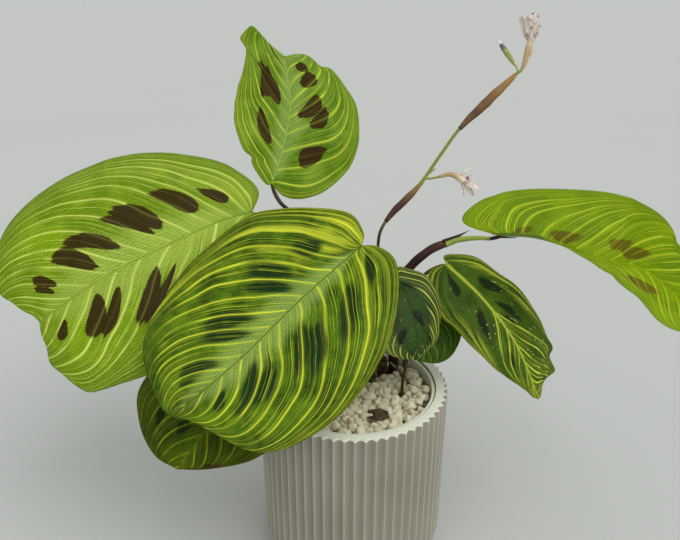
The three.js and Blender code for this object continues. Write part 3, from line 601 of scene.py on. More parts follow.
class Net:
    """Nodes of one material."""

    def __init__(self, name, roughness=0.5):
        self.material = bpy.data.materials.new(name)
        self.material.use_nodes = True
        self.tree = self.material.node_tree
        self.shader = self.tree.nodes["Principled BSDF"]
        self.tones = {}
        self.base = None
        self.settle("Roughness", roughness)

    def settle(self, socket, value):
        """A value of the shader that is the same all over the surface."""
        self.shader.inputs[socket].default_value = value

    def feed(self, socket, value):
        if isinstance(value, Value):
            self.tree.links.new(value.socket, socket)
        else:
            socket.default_value = value

    def node(self, kind, inputs, output=0, **settings):
        """A new node, read at one of its outputs."""
        node = self.tree.nodes.new("ShaderNode" + kind)
        for key, value in settings.items():
            setattr(node, key, value)
        for key, value in inputs.items():
            self.feed(node.inputs[key], value)
        return Value(self, node.outputs[output])

    def math(self, operation, *values):
        return self.node("Math", dict(enumerate(values)), operation=operation)

    def rise(self, value, low, high):
        """0 below low and 1 above high, with a smooth step between."""
        inputs = {"Value": value, "From Min": low, "From Max": high, "To Min": 0.0, "To Max": 1.0}
        return self.node("MapRange", inputs, interpolation_type="SMOOTHSTEP")

    def fall(self, value, low, high):
        """1 below low and 0 above high, with a smooth step between."""
        return 1.0 - self.rise(value, low, high)

    def fold(self, value):
        """Distance to the nearest whole number."""
        return self.math("PINGPONG", value, 0.5)

    def mix(self, share, a, b, blend="MIX"):
        return self.node("Mix", {0: share, 6: a, 7: b}, 2, data_type="RGBA", blend_type=blend)

    def blend(self, share, first, second):
        """Starts the base colour as a blend of two tones."""
        self.base = self.mix(share, self.tone(first), self.tone(second))

    def paint(self, share, tone):
        """Lays a tone over the base colour."""
        self.base = self.mix(share, self.base, self.tone(tone))

    def tone(self, name):
        """A colour from its code, or from the name that the leaf gives it."""
        return colour(self.tones.get(name, name))

    def vector(self, x, y, z=0.0):
        return self.node("CombineXYZ", {0: x, 1: y, 2: z})

    def split(self, vector):
        """The three numbers of a vector."""
        parts = self.node("SeparateXYZ", {0: vector}).socket.node
        return [Value(self, socket) for socket in parts.outputs]

    def attribute(self, name):
        """A vector kept with the mesh, followed by its three numbers."""
        vector = self.node("Attribute", {}, "Vector", attribute_name=name)
        return vector, *self.split(vector)

    def place(self):
        return self.node("TexCoord", {}, "Object")

    def noise(self, vector, scale, detail=2.0, rough=0.5):
        inputs = {"Vector": vector, "Scale": scale, "Detail": detail, "Roughness": rough}
        return self.node("TexNoise", inputs)

    def patches(self, vector, scale, detail=2.0, low=0.35, high=0.65, rough=0.5):
        """Noise turned into patches of 0 and 1 with soft edges."""
        return self.rise(self.noise(vector, scale, detail, rough), low, high)

    def draw(self, x, y, z):
        """A random number for each vector."""
        return self.node("TexWhiteNoise", {"Vector": self.vector(x, y, z)}, noise_dimensions="3D")

    def finish(self, bump=None, strength=0.3, distance=0.0003, roughness=None):
        self.feed(self.shader.inputs["Base Color"], self.base)
        if roughness is not None:
            self.feed(self.shader.inputs["Roughness"], roughness)
        if bump is not None:
            inputs = {"Strength": strength, "Distance": distance, "Height": bump}
            self.feed(self.shader.inputs["Normal"], self.node("Bump", inputs))
        return self.material


class LeafSkin(Net):
    """The material of one side of a leaf, drawn along its veins."""

    def __init__(self, name, number, back):
        super().__init__(f"leaf_{name}_back" if back else f"leaf_{name}")
        self.look = PLAIN_LOOK | LOOKS[name]
        self.shares = dict(zip(("band", "tip", "margin", "base"), self.look["shares"]))
        self.tones = dict(zip(TONES, self.look["tones"].split()))
        self.seed = number
        self.back = back
        self.faint = BACK_STRENGTH if back else 1.0
        _, self.start, self.reach, self.side = self.attribute("vein")
        self.flat, _, self.beside, _ = self.attribute("flat")
        wobble = (self.noise(self.flat, 0.035, 1.0) - 0.5) * self.look["wobble"]
        self.phase = self.start * self.by_side("veins") + (wobble + self.side * VEIN_SHIFT)
        self.from_vein = self.fold(self.phase)
        self.hatch = self.fold(self.phase * THREADS)
        self.cells = self.fold(self.reach * CELL_ROWS + self.noise(self.flat, 0.35) * 2.0)
        self.grain = self.noise(self.flat, 1.3, 3.0)
        self.clear = self.clear_share()

    def by_side(self, key, strength=1.0):
        """A pair of the look, read on each half of the leaf."""
        left, right = (value * strength for value in self.look[key])
        return self.side * ((right - left) / 2) + (right + left) / 2

    def clear_share(self):
        """How far the veins show: they fade at the margin and at the tip."""
        if self.look["outer_only"]:
            return self.math("MAXIMUM", self.rise(self.reach, 0.46, 0.66), self.rise(self.start, 0.8, 0.95))
        outward = self.reach + self.rise(self.start, 0.0, 0.4) * 0.1
        at_margin = self.rise(outward, 0.82, 0.97) * self.by_side("edge_fade")
        at_tip = self.rise(self.start, 0.5, 0.85) * self.rise(self.reach, 0.35, 0.75)
        return (1.0 - at_margin) * (1.0 - at_tip * self.look["tip_fade"])

    def ground(self):
        """The greens, with the band, margin, tip, base and flushed patches."""
        self.blend(self.patches(self.flat, 0.06, 3.0), "deep", "light")
        band_width = (self.from_vein * -1.1 + 1.3) * self.look["band_width"]
        self.paint(self.fall(self.reach / band_width, 0.3, 1.15) * self.shares["band"], "band")
        self.paint(self.rise(self.reach, 0.72, 1.0) * self.shares["margin"], "margin")
        self.paint(self.rise(self.start, 0.68, 0.98) * self.shares["tip"], "tip")
        low = self.fall(self.start, -0.15, 0.08) * self.fall(self.reach, 0.4, 0.75)
        self.paint(low * self.shares["base"], "base")

        along_veins = self.vector(self.phase * 1.7, self.reach * 2.2, self.seed + 3)
        inner = self.look["flush_from"]
        flushed = self.patches(along_veins, 1.0, 2.0, 0.46, 0.6, 0.6) * self.fall(self.start, 0.0, 0.2)
        flushed = flushed * self.rise(self.reach, inner, inner + 0.25)
        self.paint(flushed * self.by_side("flush", self.faint), "vein")

    def marks(self):
        """The dark marks, and on the top leaf a painted shadow, with edges that streaks along the veins make
        ragged.
        """
        streaks = self.noise(self.vector(self.phase * 5.0, self.reach * 4.0, self.seed), 1.0, 2.0, 0.6)
        ragged = self.attribute("mark")[1] + (streaks - 0.5) * 0.55
        self.marked = self.rise(ragged, 0.0, self.look["mark_edge"]) * (0.3 if self.back else 0.98)
        self.paint(self.marked, "mark")

    def weave(self):
        """Light and dark of the small cells, and pale threads between the veins."""
        shade = (self.hatch - 0.25) * 0.4 + (self.cells - 0.25) * 0.8 + (self.grain - 0.5) * 0.5 + 1.0
        grey = self.node("CombineColor", {0: shade, 1: shade, 2: shade})
        self.base = self.mix(1.0, self.base, grey, "MULTIPLY")
        threads = self.rise(self.hatch, 0.24, 0.46) * self.patches(self.flat, 0.2, 1.0, 0.34, 0.56)
        threads = threads * (1.0 - self.marked * 0.9)
        self.paint(threads * (self.look["hatch"] * self.faint), "vein")

    def stripes(self, strength, density, shift, width, kept):
        """Lines along the veins: density to each strong one, kept is the share of them seen."""
        turn = self.phase * density + shift
        cell = self.math("FLOOR", turn + 0.5)
        spread = (self.reach * 0.5 + 0.7) * self.look["width"]
        wide = (self.draw(cell, self.side, self.seed + shift) * 0.9 + 0.6) * spread * width
        line = self.fall(self.fold(turn), wide * 0.35, wide * 1.25)
        if not self.look["outer_only"]:
            stretch = self.vector(cell * 3.7, self.reach * 2.6, self.seed)
            line = line * self.patches(stretch, 1.0, 1.0, 0.3, 0.46)
        chosen = self.draw(self.side, cell, self.seed + 9 + shift)
        line = line * self.rise(chosen, 1 - kept, 1.12 - kept)
        return line * (self.look[strength] * self.faint)

    def veins(self):
        """Strong, medium and fine veins, which the marks partly cover."""
        patchy = (self.patches(self.flat, 0.08, 1.0, 0.36, 0.54) * 0.65 + 0.35) * self.clear
        self.main = self.stripes("main", 1.0, 0.0, 0.056, 1.0) * self.clear
        medium = self.stripes("medium", 1.0, 0.5, 0.03, 0.75) * patchy
        fine = self.stripes("fine", 4.0, 0.3, 0.09, 0.8) * patchy
        self.pale = self.math("MAXIMUM", medium, fine)
        bare = 1.0 - self.marked * self.look["cover"]
        first = self.look["vein_from"]
        if first is not None:
            bare = bare * self.rise(self.start, first - 0.06, first + 0.04)
        halo = self.fall(self.from_vein, 0.02, 0.2) * (self.clear * 0.16)
        for line in (self.pale, halo, self.main):
            self.paint(line * bare, "vein")

    def dots(self):
        """Rows of pale dots along the veins."""
        cells = self.node("TexVoronoi", {"Vector": self.flat, "Scale": 0.62}, feature="F1")
        here = self.patches(self.flat, 0.09, 1.0, 0.48, 0.57)
        here = here * self.fall(self.fold(self.phase * 1.5), 0.1, 0.2)
        dots = self.fall(cells, 0.15, 0.3) * here
        self.paint(dots * self.look["dots"], "bfcc84")

    def burnt_edge(self):
        """Brown patches on the margin of the left half."""
        burnt = self.rise(self.reach, 0.8, 0.93) * self.patches(self.flat, 0.16, 2.0, 0.42, 0.52)
        burnt = burnt * self.rise(self.start, 0.15, 0.25) * self.fall(self.side, -0.5, 0.5)
        self.paint(burnt * self.look["burnt"], "4a2c0c")

    def midrib(self):
        wide = (self.start * -0.7 + 1.0) * self.look["rib_width"]
        self.paint(self.fall(self.math("ABSOLUTE", self.beside), wide, wide + 0.4) * 0.9, "rib")


def leaf_material(name, number, back=False):
    skin = LeafSkin(name, number, back)
    skin.ground()
    skin.marks()
    skin.weave()
    skin.veins()
    if skin.look["dots"]:
        skin.dots()
    if skin.look["burnt"]:
        skin.burnt_edge()
    skin.midrib()
    if back:
        skin.paint(0.4, "7f9a3c")
    height = skin.main * -0.7 + (skin.hatch + skin.cells) * 0.4 + skin.grain * 0.4 + skin.pale * -0.3
    rough = (skin.grain - 0.5) * 0.25 + (0.6 if back else 0.4)
    skin.settle("Subsurface Weight", 0.05)
    skin.settle("Subsurface Radius", (0.0012, 0.002, 0.0005))
    skin.settle("Specular IOR Level", skin.look["gloss"])
    return skin.finish(height, 0.5, 0.0004, rough)


def mottled(name, codes, scale, roughness, bump_scale, bump=0.3, change=None):
    """Two colours mixed by noise; change is where along a stem a third one takes over."""
    net = Net(name, roughness)
    place = net.place()
    net.blend(net.patches(place, scale, 4.0, rough=0.6), codes[0], codes[1])
    if change:
        net.paint(net.rise(net.attribute("where")[1], *change), codes[2])
    height = net.noise(place, bump_scale, 4.0, 0.6)
    net.settle("Specular IOR Level", 0.2)
    return net.finish(height, bump, roughness=height * 0.16 + (roughness - 0.08))


# Leaves

def mark_and_shadow_depth(name, place, reach, share):
    """Above 0 inside the dark marks of a leaf, and inside the painted shadow on the top leaf."""
    depth = np.full(share.shape, -3.0)
    for side, here in (("left", share < 0), ("right", share > 0)):
        for *percents, lean in MARKS_AND_SHADOWS[name][side]:
            centre, across, half_width, half_length = (percent / 100 for percent in percents)
            farther = (reach - across) / half_length
            taper = 0.78 + 0.32 * np.clip(farther, -1, 1)
            beside = np.abs(place - centre - lean * (reach - across)) / (half_width * taper)
            distance = (beside ** MARK_ROUNDNESS + np.abs(farther) ** MARK_ROUNDNESS) ** (1 / MARK_ROUNDNESS)
            depth = np.where(here, np.maximum(depth, 1 - distance), depth)
    return depth


def make_leaf(name, number):
    leaf = Leaf(LEAVES[name])
    look = PLAIN_LOOK | LOOKS[name]
    rows, columns = SMALL_GRID if name in SMALL_LEAVES else FINE_GRID
    x, y, along, share = leaf.grid(rows, columns)
    reach = np.abs(share)
    right = share >= 0

    def by_side(pair):
        return np.where(right, pair[1], pair[0])

    place = vein_start(along, reach, by_side(look["power"]))
    back, stretch = (by_side([lean[k] for lean in look["lean"]]) for k in (0, 1))
    start = (place - back * reach ** 2) / (1 + stretch * reach ** 2)

    phase = start * by_side(look["veins"]) + by_side((-VEIN_SHIFT, VEIN_SHIFT))
    quilt = 0.3 * (0.5 - 0.5 * np.cos(TURN * phase)) * np.clip(reach * 6, 0, 1) * (1 - reach ** 6)
    ripple = RUFFLE.get(name, PLAIN_RUFFLE) * wave(x / 6, y / 8, number) * reach ** 4
    groove = -0.35 * np.exp(-(y / 1.3) ** 2)
    middle = leaf.place(x, y) + leaf.normal(x, y) * (quilt + ripple + groove)[..., None]
    half = leaf.normal(x, y) * (BLADE_THICKNESS / 2 * (1 - 0.6 * reach ** 8))[..., None]

    size = x.size
    rim = rim_faces(rows, 2 * columns, size)
    faces = [*grid_faces(rows, 2 * columns, 0, True), *grid_faces(rows, 2 * columns, size),
             *(face[::-1] for face in rim)]
    values = {
        "vein": triples(start, reach, np.sign(share)),
        "flat": triples(x, y, 7 * number),
        "mark": triples(mark_and_shadow_depth(name, place, reach, share), 0, 0),
    }
    count = rows * 2 * columns
    make_piece(
        f"leaf_{name}", np.concatenate([(middle + half).reshape(-1, 3), (middle - half).reshape(-1, 3)]),
        faces, [leaf_material(name, number), leaf_material(name, number, back=True)],
        [f"blade_{name}"],
        {key: np.concatenate([value, value]) for key, value in values.items()},
        [0] * count + [1] * count + [0] * len(rim),
    )
    return leaf


def make_stalk(name, leaf, number):
    """A stalk that runs on as the midrib under its blade."""
    stalk = STALKS[name]
    sheathed = name == "right"
    rib = []
    for share in (0, 0.04, 0.08) if sheathed else (0, 0.06, 0.13, 0.25, 0.42, 0.6, 0.8, 0.97):
        radius = max(0.2, 0.7 - 0.7 * share)
        knee = stalk["knee"] * max(0, 1 - share / 0.1) ** 2
        angles = [three_point(leaf.data[side]["rise"], share) for side in ("left", "right")]
        crease = math.radians(sum(angles) / 2)
        drop = (BLADE_THICKNESS / 2 + 0.4 + 0.5 * radius) / math.cos(crease) + knee
        x = np.array([share * leaf.length])
        rib.append((leaf.place(x, np.zeros(1)) - leaf.normal(x, np.zeros(1)) * drop)[0])
    points = [*stalk["route"], *rib]
    blade_from = Line([*stalk["route"], rib[0]]).length / Line(points).length
    share = np.linspace(0, 1, 90)
    beyond = np.clip((share - blade_from) / (1 - blade_from), 0, 1)
    below = stalk["radius"] + (MIDRIB_END_RADIUS - stalk["radius"]) * (share / blade_from) ** 6
    radii = np.where(share < blade_from, below, MIDRIB_END_RADIUS - 0.6 * beyond ** 0.6)
    if sheathed:
        radii = radii + (1 - np.clip(share / (0.55 * blade_from), 0, 1)) ** 1.5
    swelling = 0.25 * np.exp(-((share - blade_from + 0.03) / 0.03) ** 2)
    shape = Parts()
    shape.stem(points, radii + swelling, 14, 0.05, number)
    if name == "hidden":
        twig = [[28.3, -0.2, 111.5], [25, 2, 117], [20.5, 4, 121]]
        shape.stem(twig, np.linspace(0.7, 0.45, 14), 10, 0.12, 5)
    change = (0.78, 0.84) if sheathed else (0.97, 1.06)
    material = mottled(f"stalk_{name}", stalk["tones"], 180, 0.5, 500,
                       change=[blade_from * end for end in change])
    shape.make(f"petiole_{name}", material, "stalk_green" if sheathed else "stalk", f"stalk_{name}")


leaves = {name: make_leaf(name, number) for number, name in enumerate(LEAVES)}
for number, name in enumerate(LEAVES):
    make_stalk(name, leaves[name], number)


# Sheaths, flowering stem and bracts

def sleeve(name, line, inner, outer, node, material, sides, ragged, seed):
    """An open dry sleeve round a stem, with a ragged upper edge."""
    rows = len(outer) - 1
    outside = round_rows(line, outer, sides, 0.1, seed)
    inside = round_rows(line, [inner] * (rows + 1), sides)
    angle = np.linspace(0, TURN, sides, endpoint=False)
    drop = ragged * (0.5 + 0.5 * wave(2 * angle, angle, seed))
    along = np.linspace(0, 1, rows + 1)[:, None]
    for rings in (outside, inside):
        rings -= line.tangent(line.length) * (along ** 4 * drop)[..., None]
    size = (rows + 1) * sides
    top = rows * sides
    faces = [*grid_faces(rows, sides, 0, False, True), *grid_faces(rows, sides, size, True, True)]
    for k in range(sides):
        after = (k + 1) % sides
        faces.append([after, k, k + size, after + size])
        faces.append([top + k, top + after, top + after + size, top + k + size])
    points = np.concatenate([outside.reshape(-1, 3), inside.reshape(-1, 3)])
    where = triples(along, along, along + np.zeros(sides))
    make_piece(name, points, faces, [material], [node], {"where": np.concatenate([where, where])})


share = np.linspace(0, 1, 70)
sheath = Parts()
mouth = 1 - 0.35 * np.clip((share - 0.9) / 0.1, 0, 1) ** 2
sheath.stem(SHEATH, (2.9 - 0.7 * share ** 2) * mouth, 18, 0.06, 3)
sheath.stem([[49, 24.3, 185], [57.5, 26.6, 187.9], [63.5, 28.6, 190.2]], np.linspace(1.6, 0.12, 16),
            10, 0.05, 4)
sheath_skin = mottled("sheath", ("281214", "42201f", "54342a"), 160, 0.5, 420, change=(0.8, 1.0))
sheath.make("right_sheath", sheath_skin, "sheath", "sheath_right")

dry_skin = mottled("dry_leaf", ("2c1d12", "5c4830"), 260, 0.8, 700, 0.5)
for name, height, flare in (("front", 11, 0.5), ("under", 7, 0.6)):
    low = SOIL_TOP + 2.5 - STEM_FOOT
    line = Line(Line(STALKS[name]["route"]).at(np.linspace(low, low + height, 4)))
    inner = STALKS[name]["radius"] + 0.2
    outer = inner + 0.8 + flare * (1 - np.linspace(0, 1, 14))
    sleeve(f"dry_sheath_{name}", line, inner, outer, f"old_sheath_{name}", dry_skin,
           18, 4, 2 + height)

share = np.linspace(0, 1, 150)
flower_stem = Parts()
flower_stem.stem(FLOWER_STEM, 0.87 + 0.35 * np.exp(-((share - 0.62) / 0.012) ** 2), 14, 0.05, 6)
stem_skin = mottled("flower_stem", ("2e3010", "44461c", "7c8430"), 150, 0.45, 420, 0.25, (0.46, 0.52))
flower_stem.make("flowering_stem", stem_skin, "flower_stem", "flower_stem")

stem_line = Line(FLOWER_STEM)
share = np.linspace(0, 1, 34)
for name, low, high, widest, codes, change in (
    ("lower", 0.49, 0.62, 2.0, ("34201e", "50332c", "8a6e40"), (0.35, 1.0)),
    ("upper", 0.79, 0.995, 2.6, ("4c3628", "765a3c", "a27a48"), (0.1, 1.0)),
):
    line = Line(stem_line.at(np.linspace(low, high, 9) * stem_line.length))
    outer = 1.2 + (widest - 1.2) * np.sin(math.pi * share)
    bract_skin = mottled(f"bract_{name}", codes, 120, 0.6, 500, 0.4, change)
    sleeve(f"dry_bract_{name}", line, 0.95, outer, f"bract_{name}", bract_skin, 22, 3, 7)


# Flowers, with the tints that tell tubes and green pedicels from petals

TUBE = -1.0
PEDICEL = -2.0


def petal_place(points, half_width, face, cup, ruffle, seed):
    """Points and normals of a cupped, crinkled sheet along a line."""
    line = Line(points)

    def place(along, side):
        distance = along * line.length
        tangent = line.tangent(distance)
        across = unit(np.cross(tangent, np.broadcast_to(face, tangent.shape)))
        up = unit(np.cross(across, tangent))
        width = half_width * (0.22 + 0.78 * np.sin(math.pi * (0.1 + 0.82 * along)))
        crinkle = ruffle * wave(9 * along, 4 * side, seed) * (0.3 + side ** 2)
        point = (line.at(distance) + across * (side * width)[..., None]
                 + up * (cup * side ** 2 + crinkle)[..., None])
        return point, -up

    return place


def petals(parts, rows):
    """Petals from their line, half width, the way they face, cup and tint."""
    for number, (points, half_width, face, cup, tint) in enumerate(rows):
        parts.sheet(petal_place(points, half_width, face, cup, 0.35, number), 16, 10, 0.3, tint)


def petal_material():
    net = Net("petal", 0.6)
    _, along, across, tint = net.attribute("where")
    place = net.place()
    spots = net.noise(place, 420, 3.0, 0.7)
    net.blend(net.patches(place, 160), "efe6dd", "d9c8b4")
    net.paint(net.rise(spots, 0.5, 0.62) * net.rise(tint, 0.2, 0.9), "7d4f74")
    net.paint(net.fall(along, 0.0, 0.35) * 0.55, "b98d5e")
    tube = net.mix(net.rise(along, 0.5, 0.95), colour("bfa073"), colour("e6d6bc"))
    net.base = net.mix(net.rise(tint, -0.6, TUBE), net.base, tube)
    net.paint(net.rise(tint, -1.6, PEDICEL), "8c9c3c")
    net.settle("Subsurface Weight", 0.15)
    net.settle("Subsurface Radius", (0.001, 0.0008, 0.0006))
    return net.finish(net.fold(across * 5.0) + spots, 0.4, 0.0002)


def bud_material():
    net = Net("bud", 0.45)
    along = net.attribute("where")[1]
    place = net.place()
    tone = net.patches(place, 200, 4.0)
    net.blend(tone, "8c9440", "aaa456")
    uneven = along + (net.noise(place, 500) - 0.5) * 0.2
    net.paint(net.rise(uneven, 0.66, 0.74), "66646a")
    net.paint(net.rise(uneven, 0.84, 0.92), "e9e5dc")
    return net.finish(tone)


petal_skin = petal_material()
share = np.linspace(0, 1, 26)

top = Parts()
top.stem([[94, 74.1, 268], [95.6, 75.4, 271.6], [98, 79, 278], [99.2, 81.5, 282.6], [99.6, 82.6, 286]],
         0.75 + share + 0.6 * np.sin(math.pi * share), 14, 0.08, 2, TUBE)
top.stem([[92.3, 73.4, 267.3], [93.4, 73.9, 267.7], [94.6, 74.5, 269.4]], np.linspace(0.7, 0.8, 12),
         10, 0.05, 5, PEDICEL)
petals(top, [
    ([[99, 81.5, 283], [96, 82.5, 289], [93, 84, 296]], 2, [-0.4, -0.9, 0.2], 0.6, 0.3),
    ([[99.4, 81.5, 283], [98, 82, 290], [99.5, 84, 299]], 2.3, [0, -1, 0.2], 0.7, 0.9),
    ([[99.6, 82, 283], [102, 83, 289], [103.5, 85, 293]], 2.2, [0.4, -0.9, 0.2], 0.6, 0.9),
    ([[99.2, 81.3, 283], [97, 81.6, 290], [96.2, 82.6, 297]], 1.5, [-0.3, -0.95, 0.2], 0.5, 0.5),
    ([[99.6, 81.6, 283], [101.2, 81.8, 290], [102.4, 83.8, 297.6]], 1.5, [0.3, -0.9, 0.2], 0.5, 0.6),
    ([[99.4, 83, 283], [101, 86.5, 290], [101.5, 88, 297]], 2.6, [0.2, 0.9, 0.3], 0.6, 0.2),
    ([[99.2, 80.8, 282.4], [99.4, 79.6, 285], [99.2, 79.6, 288.4]], 1.8, [0, -0.9, 0.5], 0.5, 0.6),
    ([[95.6, 74.8, 272.4], [99.3, 76.5, 276], [101.5, 78, 279]], 0.8, [0.6, -0.7, 0.3], 0.2, 0.0),
])
top.make("top_flower", petal_skin, "petal", "flower_top")

side = Parts()
side.stem([[47, 41.5, 216.8], [52.6, 41.5, 218.2], [57, 40.6, 217], [60.5, 39.6, 214.6]],
          0.85 + 1.15 * share, 14, 0.08, 4, TUBE)
side.stem([[39, 42.2, 215.5], [43, 41.8, 215.8], [47.4, 41.5, 216.9]], np.linspace(0.65, 0.6, 16),
          10, tint=PEDICEL)
side.stem([[39, 42.4, 215.6], [42, 42.6, 218.6], [45, 42.8, 221]], np.linspace(0.6, 0.3, 12),
          10, tint=PEDICEL)
petals(side, [
    ([[57.5, 40.4, 217.4], [62, 41, 220], [67.6, 41.6, 223]], 0.9, [-0.5, -0.3, 0.8], 0.2, 0.0),
    ([[59, 39.6, 215.6], [60.4, 38.6, 211.5], [61, 38, 207.6]], 0.8, [-0.8, -0.5, 0], 0.2, 0.0),
    ([[60, 39.6, 214.8], [64, 38, 210.4], [66, 37, 207.8]], 1.7, [-0.3, -0.9, -0.2], 0.5, 0.4),
    ([[60, 39.8, 214.8], [64.5, 38.6, 212.6], [68.8, 37.6, 210.6]], 1.9, [0.5, -0.6, 0.6], 0.6, 0.5),
    ([[60.4, 39.6, 215], [63, 39.6, 216.6], [65, 39.8, 218]], 1.5, [0.2, -0.9, 0.4], 0.5, 1.0),
])
side.make("side_flower", petal_skin, "petal", "flower_side")

bud = Parts()
bud.stem([[92.3, 73.5, 267.4], [91.6, 74.4, 269.6], [89.2, 76.2, 272.8], [84.4, 79.7, 279.3],
          [81.3, 82, 283.5]],
         0.5 + 1.05 * np.sin(math.pi * np.clip(1.25 * share - 0.25, 0, 1)) ** 0.8, 14, 0.05, 1)
bud.make("flower_bud", bud_material(), "bud", "bud")


# Pot and liner

def lathe(name, profile, turns, material, nodes, flutes=0):
    """A closed turned body from points of radius, height and share of the flutes' depth."""
    radius, height, share = (np.array([point[k] for point in profile], float)[:, None] for k in range(3))
    angle = np.linspace(0, TURN, turns, endpoint=False)[None, :]
    place = (angle * flutes / TURN) % 1
    valley = 1 - np.abs(1 - 2 * place) if flutes else 0 * angle
    size = radius - share * FLUTE_DEPTH * (1 - (1 - valley) ** 1.5)
    rings = triples(size * np.cos(angle), size * np.sin(angle), height)
    ends = [[0, 0, profile[0][1]], [0, 0, profile[-1][1]]]
    rows = len(profile) - 1
    faces = [*grid_faces(rows, turns, 0, False, True)]
    for k in range(turns):
        after = (k + 1) % turns
        faces.append([after, k, len(rings)])
        faces.append([rows * turns + k, rows * turns + after, len(rings) + 1])
    where = triples(valley * share, share, height)
    make_piece(name, np.concatenate([rings, ends]), faces, [material], nodes,
               {"where": np.concatenate([where, ends])})


def rounded(corner, radius, turn_from, turn_to, steps, share=0):
    """Points of a profile round a corner, between two directions in degrees."""
    angles = np.radians(np.linspace(turn_from, turn_to, steps))
    return [[corner[0] + radius * math.cos(a), corner[1] + radius * math.sin(a), share] for a in angles]


def pot_material():
    net = Net("pot", 0.55)
    _, valley, fluted, _ = net.attribute("where")
    place = net.place()
    grain = net.noise(place, 900, 4.0, 0.6)
    net.blend(net.patches(place, 22, 3.0), "9a9586", "a49f90")
    net.paint(net.rise(grain, 0.5, 0.75) * 0.2, "958f80")
    # Painted shade: the valleys of the flutes are painted darker, for the shade that falls in them.
    net.paint(net.rise(valley, 0.2, 0.9) * 0.35, "8d8676")
    # Painted highlight: a paler line is painted along the crest of each flute.
    crest_highlight = net.fall(valley, 0.04, 0.22) * net.rise(fluted, 0.2, 0.5)
    net.paint(crest_highlight * 0.6, "c4c1b3")
    height = net.split(place)[2]
    # Painted light: the rim top, which faces up, is painted much paler than the wall for the light that
    # falls on it.
    net.paint(net.rise(height, (POT_HEIGHT - 0.8) * MM, (POT_HEIGHT - 0.3) * MM), "e6e8d4")
    return net.finish(grain, 0.12, 0.0001, grain * 0.2 + 0.45)


foot_centre = (POT_RADIUS - FOOT_ROUNDING, FOOT_ROUNDING)
pot_profile = [[radius, 0, 0] for radius in (6, 18, 28, 32.5)]
for turn in np.linspace(-82, 0, 10):
    pot_profile += rounded(foot_centre, FOOT_ROUNDING, turn, turn, 1, math.cos(math.radians(turn)))
pot_profile += [[POT_RADIUS, height, 1] for height in (35, 50, 65, 80, 95, 105)]
pot_profile += rounded((POT_RADIUS - 0.5, POT_HEIGHT - 0.5), 0.5, 0, 90, 4, 1)
pot_profile += [[POT_BORE_RADIUS + 2.6, POT_HEIGHT, 0], [POT_BORE_RADIUS + 1.2, POT_HEIGHT, 0]]
pot_profile += rounded((POT_BORE_RADIUS + 0.5, POT_HEIGHT - 0.5), 0.5, 90, 180, 4)
pot_profile += [[POT_BORE_RADIUS, 60, 0], [POT_BORE_RADIUS, 29, 0], [34, 7, 0], [15, 7, 0]]
lathe("fluted_pot", pot_profile, FLUTES * 12, pot_material(), ["pot"], FLUTES)

inner = LINER_RADIUS - LINER_WALL
liner_profile = [[10, 7.3, 0], [32.5, 7.3, 0], [LINER_RADIUS, 37, 0], [LINER_RADIUS, 90, 0]]
liner_profile += rounded((LINER_RADIUS - 0.7, LINER_TOP - 0.7), 0.7, 0, 90, 5)
liner_profile += rounded((inner + 0.5, LINER_TOP - 0.5), 0.5, 90, 180, 4)
liner_profile += [[inner, 80, 0], [inner, 37, 0], [30.7, 9.1, 0], [10, 9.1, 0]]
liner_skin = mottled("liner", ("dcdec4", "e4e6ce"), 60, 0.42, 900, 0.12)
lathe("inner_pot", liner_profile, 192, liner_skin, ["liner"])


# Granules: rough chunks heaped on a bed

def round_ball():
    shape = bmesh.new()
    bmesh.ops.create_icosphere(shape, subdivisions=3, radius=1)
    points = np.array([vertex.co for vertex in shape.verts])
    faces = np.array([[vertex.index for vertex in face.verts] for face in shape.faces])
    shape.free()
    return points, faces


def chunk(ball, draw):
    """A broken lump: a ball cut flat on several sides, with small bumps."""
    points = ball * draw.uniform(0.85, 1.2, 3)
    for _ in range(9):
        facing = unit(draw.normal(size=3))
        over = np.maximum(0, points @ facing - draw.uniform(0.55, 0.85))
        points = points - 0.85 * over[:, None] * facing
    a, b = draw.uniform(0, 6, 2)
    bumps = 0.07 * wave(5 * ball[:, 0] + a, 5 * ball[:, 1] + b, 1)
    bumps = bumps + 0.06 * wave(9 * ball[:, 2] + b, 8 * ball[:, 0] + a, 2)
    return points * (1 + bumps)[:, None]


def granules(height, step, kept_share, seed):
    """One layer of chunks, clear of the stems and of the liner's wall."""
    draw = np.random.default_rng(seed)
    ball, faces = round_ball()
    routes = [stalk["route"] for name, stalk in STALKS.items() if name != "right"] + [SHEATH, FLOWER_STEM]
    reach = LINER_RADIUS - LINER_WALL - 0.6
    chunks = Parts()
    for row in range(-14, 15):
        for column in range(-14, 15):
            x = (column + 0.5 * (row % 2)) * step + draw.uniform(-0.25, 0.25) * step
            y = row * step * 0.87 + draw.uniform(-0.25, 0.25) * step
            size = draw.uniform(0.42, 0.68) * step
            kept = draw.random() < kept_share
            out = math.hypot(x, y)
            near = min(math.hypot(x - route[0][0], y - route[0][1]) for route in routes)
            if kept and out < reach - 0.9 * size and near > 1.8 + size * 0.8:
                points = chunk(ball, draw) * size
                z = height + draw.uniform(-0.5, 0.5) + max(0, out - 30) * 0.08
                chunks.add(points + [x, y, z], faces, (draw.random(), 0, 0))
    return chunks


def granule_material():
    net = Net("granules", 0.9)
    tint = net.attribute("where")[1]
    place = net.place()
    pits = net.noise(place, 900, 4.0, 0.7)
    net.blend(net.rise(tint, 0.15, 0.95), "e8e1c8", "d6cbab")
    net.paint(net.rise(pits, 0.5, 0.7) * 0.45, "f6f3e6")
    net.paint(net.patches(place, 60, 2.0, 0.55, 0.7) * 0.4, "b7b088")
    return net.finish(pits, 0.7, 0.0005, 0.9)


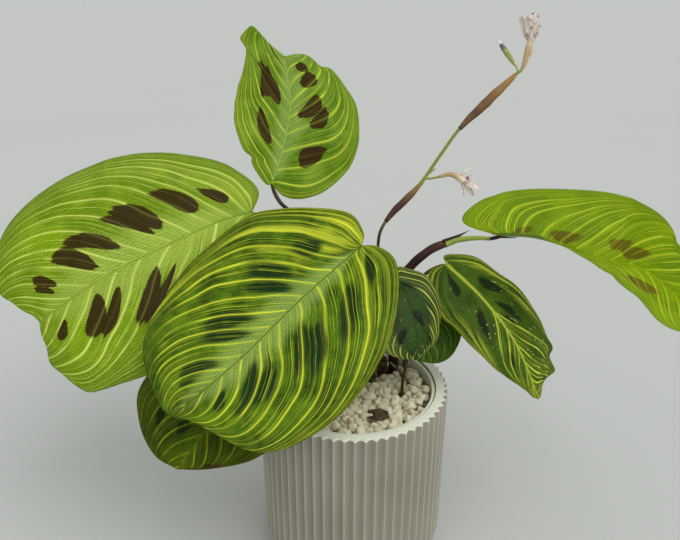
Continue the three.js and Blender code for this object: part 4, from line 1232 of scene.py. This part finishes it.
granule_skin = granule_material()
granules(SOIL_TOP - 0.8, 4.6, 1.0, 23).make("granule_bed_chunks", granule_skin, "granules")
granules(SOIL_TOP + 1.6, 4.9, 0.72, 41).make("granule_heap", granule_skin, "granules", "substrate")
bed_profile = [[8, 9.4, 0], [30, 9.4, 0], [BED_RADIUS, 39, 0], [BED_RADIUS, SOIL_TOP - 2.5, 0],
               [40, SOIL_TOP - 1.6, 0], [25, SOIL_TOP - 1.4, 0], [6, SOIL_TOP - 1.4, 0]]
bed_skin = mottled("bed", ("5c5138", "8f8666"), 240, 0.95, 700, 0.6)
lathe("granule_bed", bed_profile, 96, bed_skin, [])

flake = Parts()
flake.sheet(petal_place([[7.2, -25, 106.3], [12.5, -27, 107.4], [18.2, -26, 106.6]], 3.8, [0, -0.3, 1],
                        1, 0.7, 2), 20, 12, 0.5)
flake.make("dry_flake", dry_skin, "dead_leaf", "dead_flake")


# Floor, light and camera, in metres and degrees

FLOOR_REACH = 15
SKY_STRENGTH = 0.72
SUN_STRENGTH = 1.3
SUN_WIDTH = 45
SUN_TILT = (24, 24, 0)
CAMERA_PLACE = (-0.0074, -0.3383, 0.3389)
CAMERA_PITCH = 25.2
CAMERA_LENS = 38.12

floor_mesh = bpy.data.meshes.new("floor")
corners = [[x * FLOOR_REACH, y * FLOOR_REACH, 0] for x, y in ((-1, -1), (1, -1), (1, 1), (-1, 1))]
floor_mesh.from_pydata(corners, [], [[0, 1, 2, 3]])
floor_net = Net("floor", 0.8)
floor_net.blend(floor_net.noise(floor_net.place(), 1.5), "bfc1be", "c4c6c3")
floor_mesh.materials.append(floor_net.finish())
put("floor", floor_mesh)

world = bpy.data.worlds.new("world")
bpy.context.scene.world = world
world.use_nodes = True
sky = world.node_tree.nodes["Background"]
sky.inputs["Color"].default_value = colour("f4f6f5")
sky.inputs["Strength"].default_value = SKY_STRENGTH

sun = bpy.data.lights.new("soft_light", "SUN")
sun.energy = SUN_STRENGTH
sun.angle = math.radians(SUN_WIDTH)
put("soft_light", sun).rotation_euler = [math.radians(angle) for angle in SUN_TILT]

camera_data = bpy.data.cameras.new("camera")
camera_data.sensor_width = 36
camera_data.lens = CAMERA_LENS
camera_data.clip_start = 0.01
camera = put("camera", camera_data)
camera.location = CAMERA_PLACE
camera.rotation_euler = (math.radians(90 - CAMERA_PITCH), 0, 0)
bpy.context.scene.camera = camera
bpy.context.scene.view_settings.view_transform = "Standard"
